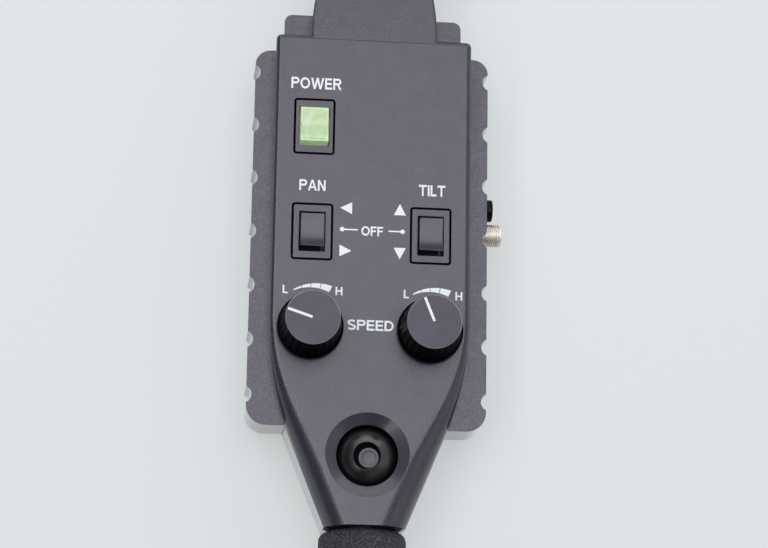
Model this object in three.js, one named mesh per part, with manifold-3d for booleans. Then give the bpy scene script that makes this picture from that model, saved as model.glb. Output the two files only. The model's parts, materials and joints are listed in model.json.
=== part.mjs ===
// Hand controller of a remote pan and tilt head: a moulded body with a power switch, two direction
// switches, two speed knobs and a thumb joystick, between a clamping neck and a foam grip.
// Lengths are in millimetres. The origin is on the flat back face, under the middle of the side
// frame. X runs to the right, Y towards the neck and Z out through the control panel.

import * as THREE from "three";
import { mergeVertices } from "three/addons/utils/BufferGeometryUtils.js";
import Module from "manifold-3d";

const wasm = await Module();
wasm.setup();

// Fits
const CLEARANCE = 0.3;
const OVERRUN = 2;
const WELD = 0.0005;

// Side frame, the scalloped case between the two shells
const FRAME_LENGTH = 140.8;
const FRAME_WIDTH = 86.4;
const FRAME_THICKNESS = 16.75;
const FRAME_LOWER_CORNER = 7.2;
const FRAME_UPPER_CORNER = 5.6;
const FRAME_LOWER_WALL = 5;
const FRAME_UPPER_WALL = 2.4;
const TONGUE_INSET = 3.2;
const TONGUE_REACH = 14.4;
const TONGUE_CORNER = 3;
const NOTCH_PITCH = 20.19;
const NOTCH_RADIUS = 3.2;
const NOTCH_DEPTH = 1.9;
const NOTCH_ROW_SHIFT = 1.15;

// Front and rear shells
const REAR_DEPTH = 9;
const PANEL_RISE = 8.25;
const FRAME_OVERHANG = 7.1;
const PANEL_TOP_REACH = 4.1;
const SHELL_WALL = 2.2;
const FLANK_RADIUS = 112;
const TAPER_START = 16.7;
const NOSE_REACH = 36.1;
const NOSE_END_WIDTH = 29.2;
const PANEL_EDGE = 1;
const NOSE_EDGE = 8;
const EDGE_GROWTH_START = 33.9;
const EDGE_GROWTH_LENGTH = 55;
const BACK_EDGE = 3;
const NOSE_BACK_EDGE = 9;
const LEAST_INNER_EDGE = 0.4;

// Neck, boss, rosette and clamp
const NECK_WIDTH = 46.6;
const NECK_FLARE_RADIUS = 90;
const NECK_FLARE_LENGTH = 26;
const NECK_RETURN_RADIUS = 40;
const NECK_SKIN_LENGTH = 31;
const NECK_FACE_SLOPE = THREE.MathUtils.degToRad(1.6);
const NECK_EDGE = 0.9;
const NECK_BACK_EDGE = 3;
const NECK_BACK_DEPTH = 9;
const TENON_WIDTH = 26;
const TENON_LENGTH = 20;
const TENON_FLOOR = 3;
const BOSS_RADIUS = 16;
const BOSS_SETBACK = 16.4;
const STUD_RADIUS = 3;
const STUD_REACH = 13;
const ROSETTE_RADIUS = 15.9;
const ROSETTE_HUB_RADIUS = 11;
const ROSETTE_THICKNESS = 3;
const ROSETTE_TOOTH_HEIGHT = 1.3;
const ROSETTE_TEETH = 60;
const CLAMP_KNOB_RADIUS = 16;
const CLAMP_KNOB_LOBE = 1.8;
const CLAMP_KNOB_LOBES = 6;
const CLAMP_KNOB_LENGTH = 16;
const CLAMP_KNOB_EDGE = 2;
const CLAMP_COLLAR_RADIUS = 7;
const CLAMP_COLLAR_LENGTH = 3;

// Grip
const GRIP_AXIS_HEIGHT = 17;
const GRIP_TUBE_RADIUS = 11;
const GRIP_TUBE_WALL = 1.5;
const GRIP_TUBE_ENTRY = 11.5;
const FOAM_RADIUS = 15.8;
const FOAM_LENGTH = 110;
const FOAM_SHOULDER = 3.2;
const FOAM_GAP = 0.5;
const END_CAP_RADIUS = 14.6;
const END_CAP_THICKNESS = 5;
const END_CAP_EDGE = 1.6;
const END_CAP_PLUG_LENGTH = 12;

// Rocker switches, set out from the middle of the frame
const SWITCH_COLUMN_INSET = 14.6;
const POWER_ROW = 39.1;
const DIRECTION_ROW = -0.56;
const SWITCH_CUTOUT_WIDTH = 15;
const SWITCH_CUTOUT_LENGTH = 21.2;
const SWITCH_CUTOUT_CORNER = 1.2;
const SWITCH_FRAME_GAP = 0.7;
const SWITCH_BODY_DEPTH = 17;
const SWITCH_WELL_DEPTH = 10;
const SWITCH_TERMINAL_LENGTH = 3.2;
const SWITCH_TERMINAL_WIDTH = 4.8;
const SWITCH_TERMINAL_THICKNESS = 0.8;
const SWITCH_TERMINAL_PITCH = 6.5;
const DIRECTION_OPENING_WIDTH = 9.5;
const DIRECTION_OPENING_LENGTH = 14.8;
const DIRECTION_ROCKER_WIDTH = 8.7;
const DIRECTION_ROCKER_LENGTH = 12.3;
const DIRECTION_ROCKER_RISE = 2.7;
const DIRECTION_ROCKER_DIP = 1.5;
const POWER_OPENING_WIDTH = 11;
const POWER_OPENING_LENGTH = 14.7;
const POWER_ROCKER_WIDTH = 10.3;
const POWER_ROCKER_LENGTH = 13.3;
const POWER_ROCKER_RISE = 1.6;
const POWER_ROCKER_DIP = 0.9;
const POWER_REST_TILT = THREE.MathUtils.degToRad(-5);
const ROCKER_PIVOT_DEPTH = 4;
const ROCKER_PIN_RADIUS = 1.2;
const ROCKER_PIN_LENGTH = 0.7;
const ROCKER_FOOT_DROP = 3;
const ROCKER_WAIST_RISE = 2;
const ROCKER_WAIST_SHARE = 0.9;
const ROCKER_FOOT_SHARE = 0.5;
const LAMP_RADIUS = 1.5;
const LAMP_HEIGHT = 2.2;

// Speed knobs and their potentiometers
const KNOB_ROW = -36.1;
const KNOB_BASE_RADIUS = 11.9;
const KNOB_TOP_RADIUS = 10.15;
const KNOB_FACE_RADIUS = 9.4;
const KNOB_HEIGHT = 15.2;
const KNOB_LIFT = 0.6;
const KNOB_SKIRT_HEIGHT = 2.2;
const KNOB_FLUTE_DEPTH = 0.35;
const KNOB_FLUTES = 24;
const KNOB_HOLLOW_RADIUS = 8.4;
const KNOB_HOLLOW_DEPTH = 5;
const SHAFT_RADIUS = 3;
const SHAFT_RISE = 12;
const SHAFT_TAIL = 4;
const POT_RADIUS = 8;
const POT_DEPTH = 8.5;
const BUSHING_RADIUS = 3.9;
const BUSHING_RISE = 3;
const NUT_ACROSS_CORNERS = 11;
const NUT_THICKNESS = 2;

// Joystick
const JOYSTICK_TO_NOSE_END = 25.1;
const DISH_RADIUS = 15.1;
const DISH_HOLE_RADIUS = 11;
const DISH_DEPTH = 2.2;
const DISH_RIM_WIDTH = 4.5;
const DOME_RADIUS = 12.5;
const DOME_WALL = 1.2;
const DOME_EDGE_ANGLE = THREE.MathUtils.degToRad(75);
const DOME_WELL_RADIUS = 4.7;
const DOME_WELL_DEPTH = 3.2;
const GIMBAL_DEPTH = 11;
const STICK_CAP_RADIUS = 3.65;
const STICK_CAP_DROP = 0.5;
const STICK_DIMPLE_RADIUS = 2.7;
const STICK_DIMPLE_DEPTH = 0.6;
const DIMPLE_RADIUS_SHARE = 0.65;
const DIMPLE_DEPTH_SHARE = 0.75;
const STICK_SHAFT_RADIUS = 2.2;
const STICK_HUB_RADIUS = 3.4;
const STICK_TAIL_LENGTH = 3.8;
const RING_OUTER_RADIUS = 8;
const RING_INNER_RADIUS = 5.6;
const RING_HEIGHT = 4;
const PIVOT_PIN_RADIUS = 1.1;
const BASE_SIZE = 21;
const BASE_TOP_DROP = 6;
const CHEEK_GAP = 0.6;
const CHEEK_THICKNESS = 1.7;
const CHEEK_WIDTH = 5.2;
const CHEEK_RISE = 2;
const SENSOR_SIZE = 8;
const SENSOR_THICKNESS = 1;

// Circuit board
const BOARD_SIDE_GAP = 0.4;
const BOARD_TOP_INSET = 8.9;
const BOARD_LOW_INSET = 14.9;
const BOARD_THICKNESS = 1.6;
const BOARD_HEIGHT = 10;
const BOARD_POST_RADIUS = 2.6;
const BOARD_POST_INSET = 4;

// Sockets on the right side
const SOCKET_HEIGHT = 17.4;
const JACK_ROW = 14.5;
const JACK_FLANGE_RADIUS = 4.1;
const JACK_FLANGE_REACH = 2.8;
const JACK_BARREL_RADIUS = 3.5;
const JACK_BORE_RADIUS = 2.75;
const JACK_BORE_DEPTH = 9;
const JACK_PIN_RADIUS = 0.9;
const JACK_PIN_SETBACK = 1.5;
const CONTROL_ROW = 5;
const CONTROL_RADIUS = 4.15;
const CONTROL_REACH = 6;
const CONTROL_BORE_RADIUS = 3.3;
const CONTROL_INSERT_SETBACK = 5.4;
const CONTROL_CONTACT_RADIUS = 0.6;
const CONTROL_CONTACT_CIRCLE = 1.7;
const CONTROL_CONTACTS = 4;
const SOCKET_TAIL = 3;

// Screws and the columns that they join
const SCREW_HEAD_RADIUS = 2.8;
const SCREW_HEAD_HEIGHT = 2;
const SCREW_SHANK_RADIUS = 1.4;
const SCREW_RECESS = 0.6;
const SCREW_SOCKET_ACROSS_CORNERS = 2.9;
const SCREW_SOCKET_DEPTH = 1;
const CASE_SCREW_LENGTH = 17;
const BOARD_SCREW_LENGTH = 6;
const COLUMN_RADIUS = 3.3;
const COLUMN_SIDE_INSET = 6.5;
const COLUMN_MIDDLE_ROW = 24;
const NECK_SCREW_SPACING = 16;
const NECK_SCREW_INSET = 3.5;

// Facet counts
const CORNER_STEPS = 4;
const INNER_CORNER_STEPS = 2;
const END_STEPS = 3;
const FLANK_STEPS = 11;
const NECK_STEPS = 7;
const NOTCH_STEPS = 5;
const ROUND_STEPS = 26;
const MIDDLE_ROUND_STEPS = 18;
const SMALL_ROUND_STEPS = 12;
const TINY_ROUND_STEPS = 8;
const HEXAGON = 6;
const DOME_STEPS = 5;
const FLUTE_STEPS = 2;
const LOBE_STEPS = 5;

// Places that follow from the sizes
const frameHalf = FRAME_LENGTH / 2;
const frameTop = REAR_DEPTH + FRAME_THICKNESS;
const panelHalf = FRAME_WIDTH / 2 - FRAME_OVERHANG;
const panelZ = frameTop + PANEL_RISE;
const panelInside = panelZ - SHELL_WALL;
const bodyTop = frameHalf + PANEL_TOP_REACH;
const noseEnd = -frameHalf - NOSE_REACH;
const joystickRow = noseEnd + JOYSTICK_TO_NOSE_END;
const gimbalZ = panelZ - GIMBAL_DEPTH;

// Flank of the shells: straight, then an arc that runs into the straight taper of the nose
const taperCorner = -frameHalf + TAPER_START;
const taperSlope = (panelHalf - NOSE_END_WIDTH / 2) / (taperCorner - noseEnd);
const taperAngle = Math.atan(taperSlope);
const flankStart = taperCorner + FLANK_RADIUS * Math.tan(taperAngle / 2);

function halfWidth(y, inset) {
  const centreX = panelHalf - FLANK_RADIUS;
  const radius = FLANK_RADIUS - inset;
  const arcEnd = flankStart - radius * Math.sin(taperAngle);
  if (y >= flankStart) return panelHalf - inset;
  if (y >= arcEnd) return centreX + Math.sqrt(radius ** 2 - (flankStart - y) ** 2);
  return centreX + radius * Math.cos(taperAngle) - (arcEnd - y) * taperSlope;
}

// How far the edges have grown from the panel's crisp edge to the nose's full round, from 0 to 1
function edgeGrowth(y) {
  const start = -frameHalf + EDGE_GROWTH_START;
  return THREE.MathUtils.smoothstep(start - y, 0, EDGE_GROWTH_LENGTH);
}

function neckHalfWidth(y) {
  const along = Math.max(y - bodyTop, 0);
  const flare = Math.min(along, NECK_FLARE_LENGTH);
  const slope = NECK_FLARE_LENGTH / NECK_FLARE_RADIUS;
  const back = Math.min(Math.max(along - NECK_FLARE_LENGTH, 0), slope * NECK_RETURN_RADIUS);
  const flareDrop = flare ** 2 / (2 * NECK_FLARE_RADIUS);
  const returnDrop = slope * back - back ** 2 / (2 * NECK_RETURN_RADIUS);
  return NECK_WIDTH / 2 - flareDrop - returnDrop;
}

const neckCurveEnd = bodyTop + NECK_FLARE_LENGTH * (1 + NECK_RETURN_RADIUS / NECK_FLARE_RADIUS);
const neckSkinEnd = bodyTop + NECK_SKIN_LENGTH;
const bossY = neckCurveEnd + BOSS_SETBACK;
const bossHalf = neckHalfWidth(bossY);
const tongueEnd = frameHalf + TONGUE_REACH;

// Turns a closed geometry into a solid, whichever way its faces wind
function solidOf(geometry) {
  const bare = geometry.index ? geometry.toNonIndexed() : geometry.clone();
  bare.deleteAttribute("normal");
  bare.deleteAttribute("uv");
  const merged = mergeVertices(bare, WELD);
  const corners = merged.index.array;
  const faces = [];
  for (let i = 0; i < corners.length; i += 3) {
    const [a, b, c] = corners.subarray(i, i + 3);
    if (a !== b && b !== c && c !== a) faces.push([a, b, c]);
  }
  const build = (list) =>
    new wasm.Manifold(
      new wasm.Mesh({
        numProp: 3,
        vertProperties: merged.attributes.position.array,
        triVerts: new Uint32Array(list.flat()),
      }),
    );
  const solid = build(faces);
  return solid.volume() > 0 ? solid : build(faces.map(([a, b, c]) => [a, c, b]));
}

function geometryOf(solid) {
  const mesh = solid.getMesh();
  const geometry = new THREE.BufferGeometry();
  geometry.setAttribute("position", new THREE.BufferAttribute(new Float32Array(mesh.vertProperties), 3));
  geometry.setIndex(new THREE.BufferAttribute(new Uint32Array(mesh.triVerts), 1));
  geometry.computeVertexNormals();
  return geometry;
}

function combine(operation, first, others) {
  let solid = solidOf(first);
  for (const other of others) solid = solid[operation](solidOf(other));
  return geometryOf(solid);
}

const join = (first, ...others) => combine("add", first, others);
const cut = (first, ...others) => combine("subtract", first, others);
const overlap = (first, ...others) => combine("intersect", first, others);

// A box between two corners
function block(low, high) {
  const size = high.map((value, axis) => value - low[axis]);
  const centre = high.map((value, axis) => (value + low[axis]) / 2);
  return new THREE.BoxGeometry(...size).translate(...centre);
}

// A round bar along Z from low to high
function bar(radius, low, high, steps = SMALL_ROUND_STEPS) {
  return new THREE.CylinderGeometry(radius, radius, high - low, steps)
    .rotateX(Math.PI / 2)
    .translate(0, 0, (low + high) / 2);
}

// A turned solid: the profile's points are [radius, height along Z]
function turned(profile, steps = ROUND_STEPS) {
  const points = profile.map(([radius, height]) => new THREE.Vector2(radius, height));
  return new THREE.LatheGeometry(points, steps).rotateX(Math.PI / 2);
}

// A flat outline drawn up from low to high
function prism(shape, low, high, steps = CORNER_STEPS) {
  const options = { depth: high - low, bevelEnabled: false, curveSegments: steps };
  return new THREE.ExtrudeGeometry(shape, options).translate(0, 0, low);
}

function roundedRectangle(width, length, corner) {
  const x = width / 2 - corner;
  const y = length / 2 - corner;
  const shape = new THREE.Shape();
  shape.absarc(x, y, corner, 0, Math.PI / 2);
  shape.absarc(-x, y, corner, Math.PI / 2, Math.PI);
  shape.absarc(-x, -y, corner, Math.PI, 1.5 * Math.PI);
  shape.absarc(x, -y, corner, 1.5 * Math.PI, 2 * Math.PI);
  return shape;
}

// Joins rings of equally many points into one skin that is capped at both ends
function skin(rings) {
  const count = rings[0].length;
  const positions = rings.flat(2);
  const index = [];
  for (let ring = 0; ring < rings.length - 1; ring++) {
    const next = ring + 1;
    for (let i = 0; i < count; i++) {
      const j = (i + 1) % count;
      index.push(ring * count + i, ring * count + j, next * count + j);
      index.push(ring * count + i, next * count + j, next * count + i);
    }
  }
  const end = (rings.length - 1) * count;
  for (let i = 1; i < count - 1; i++) {
    index.push(0, i + 1, i);
    index.push(end, end + i, end + i + 1);
  }
  const geometry = new THREE.BufferGeometry();
  geometry.setAttribute("position", new THREE.Float32BufferAttribute(positions, 3));
  geometry.setIndex(index);
  return geometry;
}

// One section across the body: a rectangle whose front corners and back corners have own radii
function section({ y, half, low, high, front, back }, steps) {
  const corners = [
    [half - front, high - front, front, 0],
    [front - half, high - front, front, Math.PI / 2],
    [back - half, low + back, back, Math.PI],
    [half - back, low + back, back, 1.5 * Math.PI],
  ];
  return corners.flatMap(([x, z, radius, start]) =>
    Array.from({ length: steps + 1 }, (_, k) => {
      const angle = start + (k / steps) * (Math.PI / 2);
      return [x + radius * Math.cos(angle), y, z + radius * Math.sin(angle)];
    }),
  );
}

// The whole body from neck to nose, drawn in by inset all round
function bodyVolume(inset, steps) {
  const top = bodyTop - inset;
  const end = noseEnd + inset;
  const stations = [];
  for (let k = 0; k < END_STEPS; k++) {
    const angle = (1 - k / END_STEPS) * (Math.PI / 2);
    stations.push({
      y: top - PANEL_EDGE * (1 - Math.sin(angle)),
      shrink: PANEL_EDGE * (1 - Math.cos(angle)),
    });
  }
  stations.push({ y: top - PANEL_EDGE, shrink: 0 });
  for (let k = 0; k <= FLANK_STEPS; k++) {
    stations.push({ y: THREE.MathUtils.lerp(flankStart, end, k / FLANK_STEPS), shrink: 0 });
  }
  const rings = stations.map(({ y, shrink }) => {
    const growth = edgeGrowth(y);
    const front = THREE.MathUtils.lerp(PANEL_EDGE, NOSE_EDGE, growth) - inset;
    const back = THREE.MathUtils.lerp(BACK_EDGE, NOSE_BACK_EDGE, growth) - inset;
    return section(
      {
        y,
        half: halfWidth(y, inset) - shrink,
        low: inset + shrink,
        high: panelZ - inset - shrink,
        front: Math.max(front, LEAST_INNER_EDGE),
        back: Math.max(back, LEAST_INNER_EDGE),
      },
      steps,
    );
  });
  return skin(rings);
}

const wide = FRAME_WIDTH;

// Everything above or below a height, as a cutting solid
function slab(low, high, start = noseEnd - OVERRUN, end = bossY + wide) {
  return block([-wide, start, low], [wide, end, high]);
}

// Where the six case screws stand: [x, y]
const columnX = panelHalf - COLUMN_SIDE_INSET;
const columnTopY = frameHalf - FRAME_UPPER_WALL - COLUMN_RADIUS - CLEARANCE;
const columnLowY = -frameHalf + FRAME_LOWER_WALL + COLUMN_RADIUS + CLEARANCE;
const columnLowX = halfWidth(columnLowY, SHELL_WALL) - COLUMN_SIDE_INSET;
const caseScrewPlaces = [1, -1].flatMap((side) => [
  [side * columnX, columnTopY],
  [side * columnX, COLUMN_MIDDLE_ROW],
  [side * columnLowX, columnLowY],
]);
const tenonEnd = tongueEnd - TENON_LENGTH;
const neckScrewPlaces = [1, -1].map((side) => [
  (side * NECK_SCREW_SPACING) / 2,
  bodyTop - NECK_SCREW_INSET,
]);

const screwHole = SCREW_SHANK_RADIUS + CLEARANCE;
const headHole = SCREW_HEAD_RADIUS + CLEARANCE;
const rearColumnRadius = headHole + SHELL_WALL / 2;
const headTop = SCREW_RECESS + SCREW_HEAD_HEIGHT;
const caseScrewTip = headTop + CASE_SCREW_LENGTH;

// The circuit board lies between the columns of the case screws
const boardHalf = columnX - rearColumnRadius - BOARD_SIDE_GAP;
const boardTop = frameHalf - BOARD_TOP_INSET;
const boardLow = BOARD_LOW_INSET - frameHalf;
const boardPostPlaces = [1, -1].flatMap((side) => [
  [side * (boardHalf - BOARD_POST_INSET), boardTop - BOARD_POST_INSET],
  [side * (boardHalf - BOARD_POST_INSET), boardLow + BOARD_POST_INSET],
]);

const switchColumn = panelHalf - SWITCH_COLUMN_INSET;
const switchPlaces = {
  power: [-switchColumn, POWER_ROW],
  pan: [-switchColumn, DIRECTION_ROW],
  tilt: [switchColumn, DIRECTION_ROW],
};
const knobPlaces = {
  pan: [-switchColumn, KNOB_ROW],
  tilt: [switchColumn, KNOB_ROW],
};

function at(geometry, [x, y], z = 0) {
  return geometry.translate(x, y, z);
}

// The front half of the neck, one moulding with the panel, whose face falls away from it
function neckFront(inset, start, end) {
  const rings = [];
  for (let k = 0; k <= NECK_STEPS; k++) {
    const y = THREE.MathUtils.lerp(start, end, k / NECK_STEPS);
    const fall = Math.max(y - bodyTop + PANEL_EDGE * 2, 0) * Math.tan(NECK_FACE_SLOPE);
    const edge = Math.max(NECK_EDGE - inset, LEAST_INNER_EDGE);
    rings.push(
      section(
        {
          y,
          half: neckHalfWidth(y) - inset,
          low: frameTop - REAR_DEPTH / 2,
          high: panelZ - fall - inset,
          front: edge,
          back: LEAST_INNER_EDGE,
        },
        INNER_CORNER_STEPS,
      ),
    );
  }
  return skin(rings);
}

function frontShellGeometry() {
  const seam = frameTop + CLEARANCE;
  const outer = bodyVolume(0, CORNER_STEPS);
  const inner = bodyVolume(SHELL_WALL, INNER_CORNER_STEPS);
  const neck = neckFront(0, bodyTop - PANEL_EDGE * 2, neckSkinEnd);
  const neckHollow = neckFront(SHELL_WALL, bodyTop + SHELL_WALL, neckSkinEnd - SHELL_WALL);
  let shell = join(cut(outer, inner), cut(neck, neckHollow));

  // The joystick dish is a shallow cone, with a ring below that keeps the wall's thickness
  const dishFloor = panelZ - DISH_DEPTH;
  const ring = turned([
    [0, dishFloor - SHELL_WALL],
    [DISH_RADIUS + DISH_RIM_WIDTH / 2, dishFloor - SHELL_WALL],
    [DISH_RADIUS + DISH_RIM_WIDTH / 2, panelInside + SHELL_WALL / 2],
    [0, panelInside + SHELL_WALL / 2],
  ]);
  const slope = (DISH_RADIUS - DISH_HOLE_RADIUS) / DISH_DEPTH;
  const dish = turned([
    [0, dishFloor - SHELL_WALL - OVERRUN],
    [DISH_HOLE_RADIUS, dishFloor - SHELL_WALL - OVERRUN],
    [DISH_HOLE_RADIUS, dishFloor],
    [DISH_RADIUS + OVERRUN * slope, panelZ + OVERRUN],
    [0, panelZ + OVERRUN],
  ]);
  const columns = caseScrewPlaces.map((place) =>
    at(bar(COLUMN_RADIUS, REAR_DEPTH, panelInside + SHELL_WALL / 2, TINY_ROUND_STEPS), place),
  );
  shell = join(shell, overlap(at(ring, [0, joystickRow]), outer));
  shell = cut(shell, slab(-OVERRUN, seam), at(dish, [0, joystickRow]));
  shell = join(shell, ...columns.map((column) => overlap(column, outer)));

  const screwBores = caseScrewPlaces.map((place) =>
    at(bar(screwHole, REAR_DEPTH - OVERRUN, caseScrewTip + CLEARANCE, TINY_ROUND_STEPS), place),
  );
  const switchHole = roundedRectangle(SWITCH_CUTOUT_WIDTH, SWITCH_CUTOUT_LENGTH, SWITCH_CUTOUT_CORNER);
  const switchHoles = Object.values(switchPlaces).map((place) =>
    at(prism(switchHole, frameTop, panelZ + OVERRUN, INNER_CORNER_STEPS), place),
  );
  const knobHoles = Object.values(knobPlaces).map((place) =>
    at(bar(BUSHING_RADIUS + CLEARANCE, frameTop, panelZ + OVERRUN), place),
  );
  return cut(shell, ...screwBores, ...switchHoles, ...knobHoles, gripBore());
}

// The bore in which both shells hold the grip tube
function gripBore() {
  return bar(GRIP_TUBE_RADIUS + CLEARANCE, noseEnd - OVERRUN, noseEnd + GRIP_TUBE_ENTRY, ROUND_STEPS)
    .rotateX(-Math.PI / 2)
    .translate(0, 0, GRIP_AXIS_HEIGHT);
}

function rearShellGeometry() {
  const outer = bodyVolume(0, CORNER_STEPS);
  const inner = bodyVolume(SHELL_WALL, INNER_CORNER_STEPS);
  const trayTop = REAR_DEPTH - CLEARANCE;
  const noseStart = -frameHalf - CLEARANCE;
  let shell = cut(outer, inner, slab(frameTop, panelZ + OVERRUN), slab(trayTop, panelZ, noseStart));

  const screwPlaces = [...caseScrewPlaces, ...neckScrewPlaces];
  const columns = screwPlaces.map((place) => at(bar(rearColumnRadius, 0, trayTop, TINY_ROUND_STEPS), place));
  const posts = boardPostPlaces.map((place) =>
    at(bar(BOARD_POST_RADIUS, SHELL_WALL / 2, BOARD_HEIGHT - CLEARANCE, TINY_ROUND_STEPS), place),
  );
  shell = join(shell, ...columns.map((column) => overlap(column, outer)), ...posts);

  const holes = screwPlaces.flatMap((place) => [
    at(bar(screwHole, -OVERRUN, trayTop + OVERRUN, TINY_ROUND_STEPS), place),
    at(bar(headHole, -OVERRUN, headTop + CLEARANCE), place),
  ]);
  const boardHoles = boardPostPlaces.map((place) =>
    at(
      bar(screwHole, BOARD_HEIGHT - BOARD_SCREW_LENGTH, BOARD_HEIGHT + OVERRUN, TINY_ROUND_STEPS),
      place,
    ),
  );
  return cut(shell, ...holes, ...boardHoles, gripBore());
}

// The scalloped outline, drawn as one path of lines and arcs
function frameOutline() {
  const half = FRAME_WIDTH / 2;
  const tongue = panelHalf - TONGUE_INSET;
  const notchX = half + NOTCH_RADIUS - NOTCH_DEPTH;
  const chord = Math.sqrt(NOTCH_RADIUS ** 2 - (NOTCH_RADIUS - NOTCH_DEPTH) ** 2);
  const spread = Math.asin(chord / NOTCH_RADIUS);
  const low = FRAME_LOWER_CORNER;
  const high = FRAME_UPPER_CORNER;
  const rowsAbove = Math.floor((frameHalf - high - chord - NOTCH_ROW_SHIFT) / NOTCH_PITCH);
  const rowsBelow = Math.floor((frameHalf - low - chord + NOTCH_ROW_SHIFT) / NOTCH_PITCH);
  const rows = Array.from(
    { length: rowsAbove + 1 + rowsBelow },
    (_, k) => NOTCH_ROW_SHIFT + (k - rowsBelow) * NOTCH_PITCH,
  );
  const shape = new THREE.Shape();
  shape.absarc(half - low, low - frameHalf, low, 1.5 * Math.PI, 2 * Math.PI);
  for (const y of rows) {
    shape.absarc(notchX, y, NOTCH_RADIUS, Math.PI + spread, Math.PI - spread, true);
  }
  shape.absarc(half - high, frameHalf - high, high, 0, Math.PI / 2);
  shape.lineTo(tongue, frameHalf);
  shape.absarc(tongue - TONGUE_CORNER, tongueEnd - TONGUE_CORNER, TONGUE_CORNER, 0, Math.PI / 2);
  shape.absarc(TONGUE_CORNER - tongue, tongueEnd - TONGUE_CORNER, TONGUE_CORNER, Math.PI / 2, Math.PI);
  shape.lineTo(-tongue, frameHalf);
  shape.absarc(high - half, frameHalf - high, high, Math.PI / 2, Math.PI);
  for (const y of rows.toReversed()) {
    shape.absarc(-notchX, y, NOTCH_RADIUS, spread, -spread, true);
  }
  shape.absarc(low - half, low - frameHalf, low, Math.PI, 1.5 * Math.PI);
  return shape;
}

// The window through the frame follows the inside of the shells
function frameWindow() {
  const top = frameHalf - FRAME_UPPER_WALL;
  const low = -frameHalf + FRAME_LOWER_WALL;
  const right = [];
  for (let k = 0; k <= NECK_STEPS; k++) {
    const y = THREE.MathUtils.lerp(flankStart, low, k / NECK_STEPS);
    right.push(new THREE.Vector2(halfWidth(y, SHELL_WALL), y));
  }
  const left = right.map((point) => new THREE.Vector2(-point.x, point.y)).reverse();
  const start = new THREE.Vector2(halfWidth(top, SHELL_WALL), top);
  return new THREE.Shape([start, ...right, ...left, new THREE.Vector2(-start.x, top)]);
}

function sideFrameGeometry() {
  const frame = prism(frameOutline(), REAR_DEPTH, frameTop, NOTCH_STEPS);
  const window = prism(frameWindow(), REAR_DEPTH - OVERRUN, frameTop + OVERRUN);
  const tenonHalf = TENON_WIDTH / 2 + CLEARANCE;
  const tenonSlot = block(
    [-tenonHalf, frameHalf - FRAME_UPPER_WALL - OVERRUN, REAR_DEPTH + TENON_FLOOR],
    [tenonHalf, tongueEnd + OVERRUN, frameTop + OVERRUN],
  );
  const domeRelief = DOME_RADIUS + CLEARANCE * 2;
  const joystickPass = block(
    [-domeRelief, -frameHalf - OVERRUN, gimbalZ - BASE_TOP_DROP],
    [domeRelief, -frameHalf + FRAME_LOWER_WALL + OVERRUN, frameTop + OVERRUN],
  );
  const sockets = [
    [JACK_ROW, JACK_BARREL_RADIUS],
    [CONTROL_ROW, CONTROL_RADIUS - SHELL_WALL / 4],
  ].map(([y, radius]) => sideways(bar(radius + CLEARANCE, frameInside() - OVERRUN, FRAME_WIDTH), y));
  const screws = neckScrewPlaces.map((place) =>
    at(bar(screwHole, REAR_DEPTH - OVERRUN, frameTop, TINY_ROUND_STEPS), place),
  );
  return cut(frame, window, tenonSlot, joystickPass, ...sockets, ...screws);
}

// The inner face of the frame's side wall
function frameInside() {
  return panelHalf - SHELL_WALL;
}

// Lays a solid that points along Z down to point out of the right side, in a socket's row
function sideways(geometry, y) {
  return geometry.rotateY(Math.PI / 2).translate(0, y, SOCKET_HEIGHT);
}

function neckArmGeometry() {
  const start = tongueEnd + CLEARANCE;
  const rings = [];
  for (let k = 0; k <= NECK_STEPS; k++) {
    const y = THREE.MathUtils.lerp(start, bossY, k / NECK_STEPS);
    const fall = (y - bodyTop + PANEL_EDGE * 2) * Math.tan(NECK_FACE_SLOPE);
    rings.push(
      section(
        {
          y,
          half: neckHalfWidth(y),
          low: NECK_BACK_DEPTH,
          high: Math.min(panelZ - fall, GRIP_AXIS_HEIGHT + BOSS_RADIUS),
          front: NECK_EDGE,
          back: NECK_BACK_EDGE,
        },
        INNER_CORNER_STEPS,
      ),
    );
  }
  const skinRoom = slab(frameTop, panelZ + OVERRUN, start - OVERRUN, neckSkinEnd + CLEARANCE);
  const boss = turned([
    [0, -bossHalf],
    [BOSS_RADIUS - NECK_EDGE, -bossHalf],
    [BOSS_RADIUS, NECK_EDGE - bossHalf],
    [BOSS_RADIUS, bossHalf - NECK_EDGE],
    [BOSS_RADIUS - NECK_EDGE, bossHalf],
    [0, bossHalf],
  ])
    .rotateY(Math.PI / 2)
    .translate(0, bossY, GRIP_AXIS_HEIGHT);
  const tenon = block(
    [-TENON_WIDTH / 2, tenonEnd, REAR_DEPTH + TENON_FLOOR + CLEARANCE],
    [TENON_WIDTH / 2, start + OVERRUN, frameTop],
  );
  const bore = bar(STUD_RADIUS + CLEARANCE, -wide, wide)
    .rotateY(Math.PI / 2)
    .translate(0, bossY, GRIP_AXIS_HEIGHT);
  const screws = neckScrewPlaces.map((place) =>
    at(bar(screwHole, REAR_DEPTH, caseScrewTip + CLEARANCE, TINY_ROUND_STEPS), place),
  );
  return cut(join(cut(skin(rings), skinRoom), boss, tenon), bore, ...screws);
}

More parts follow.
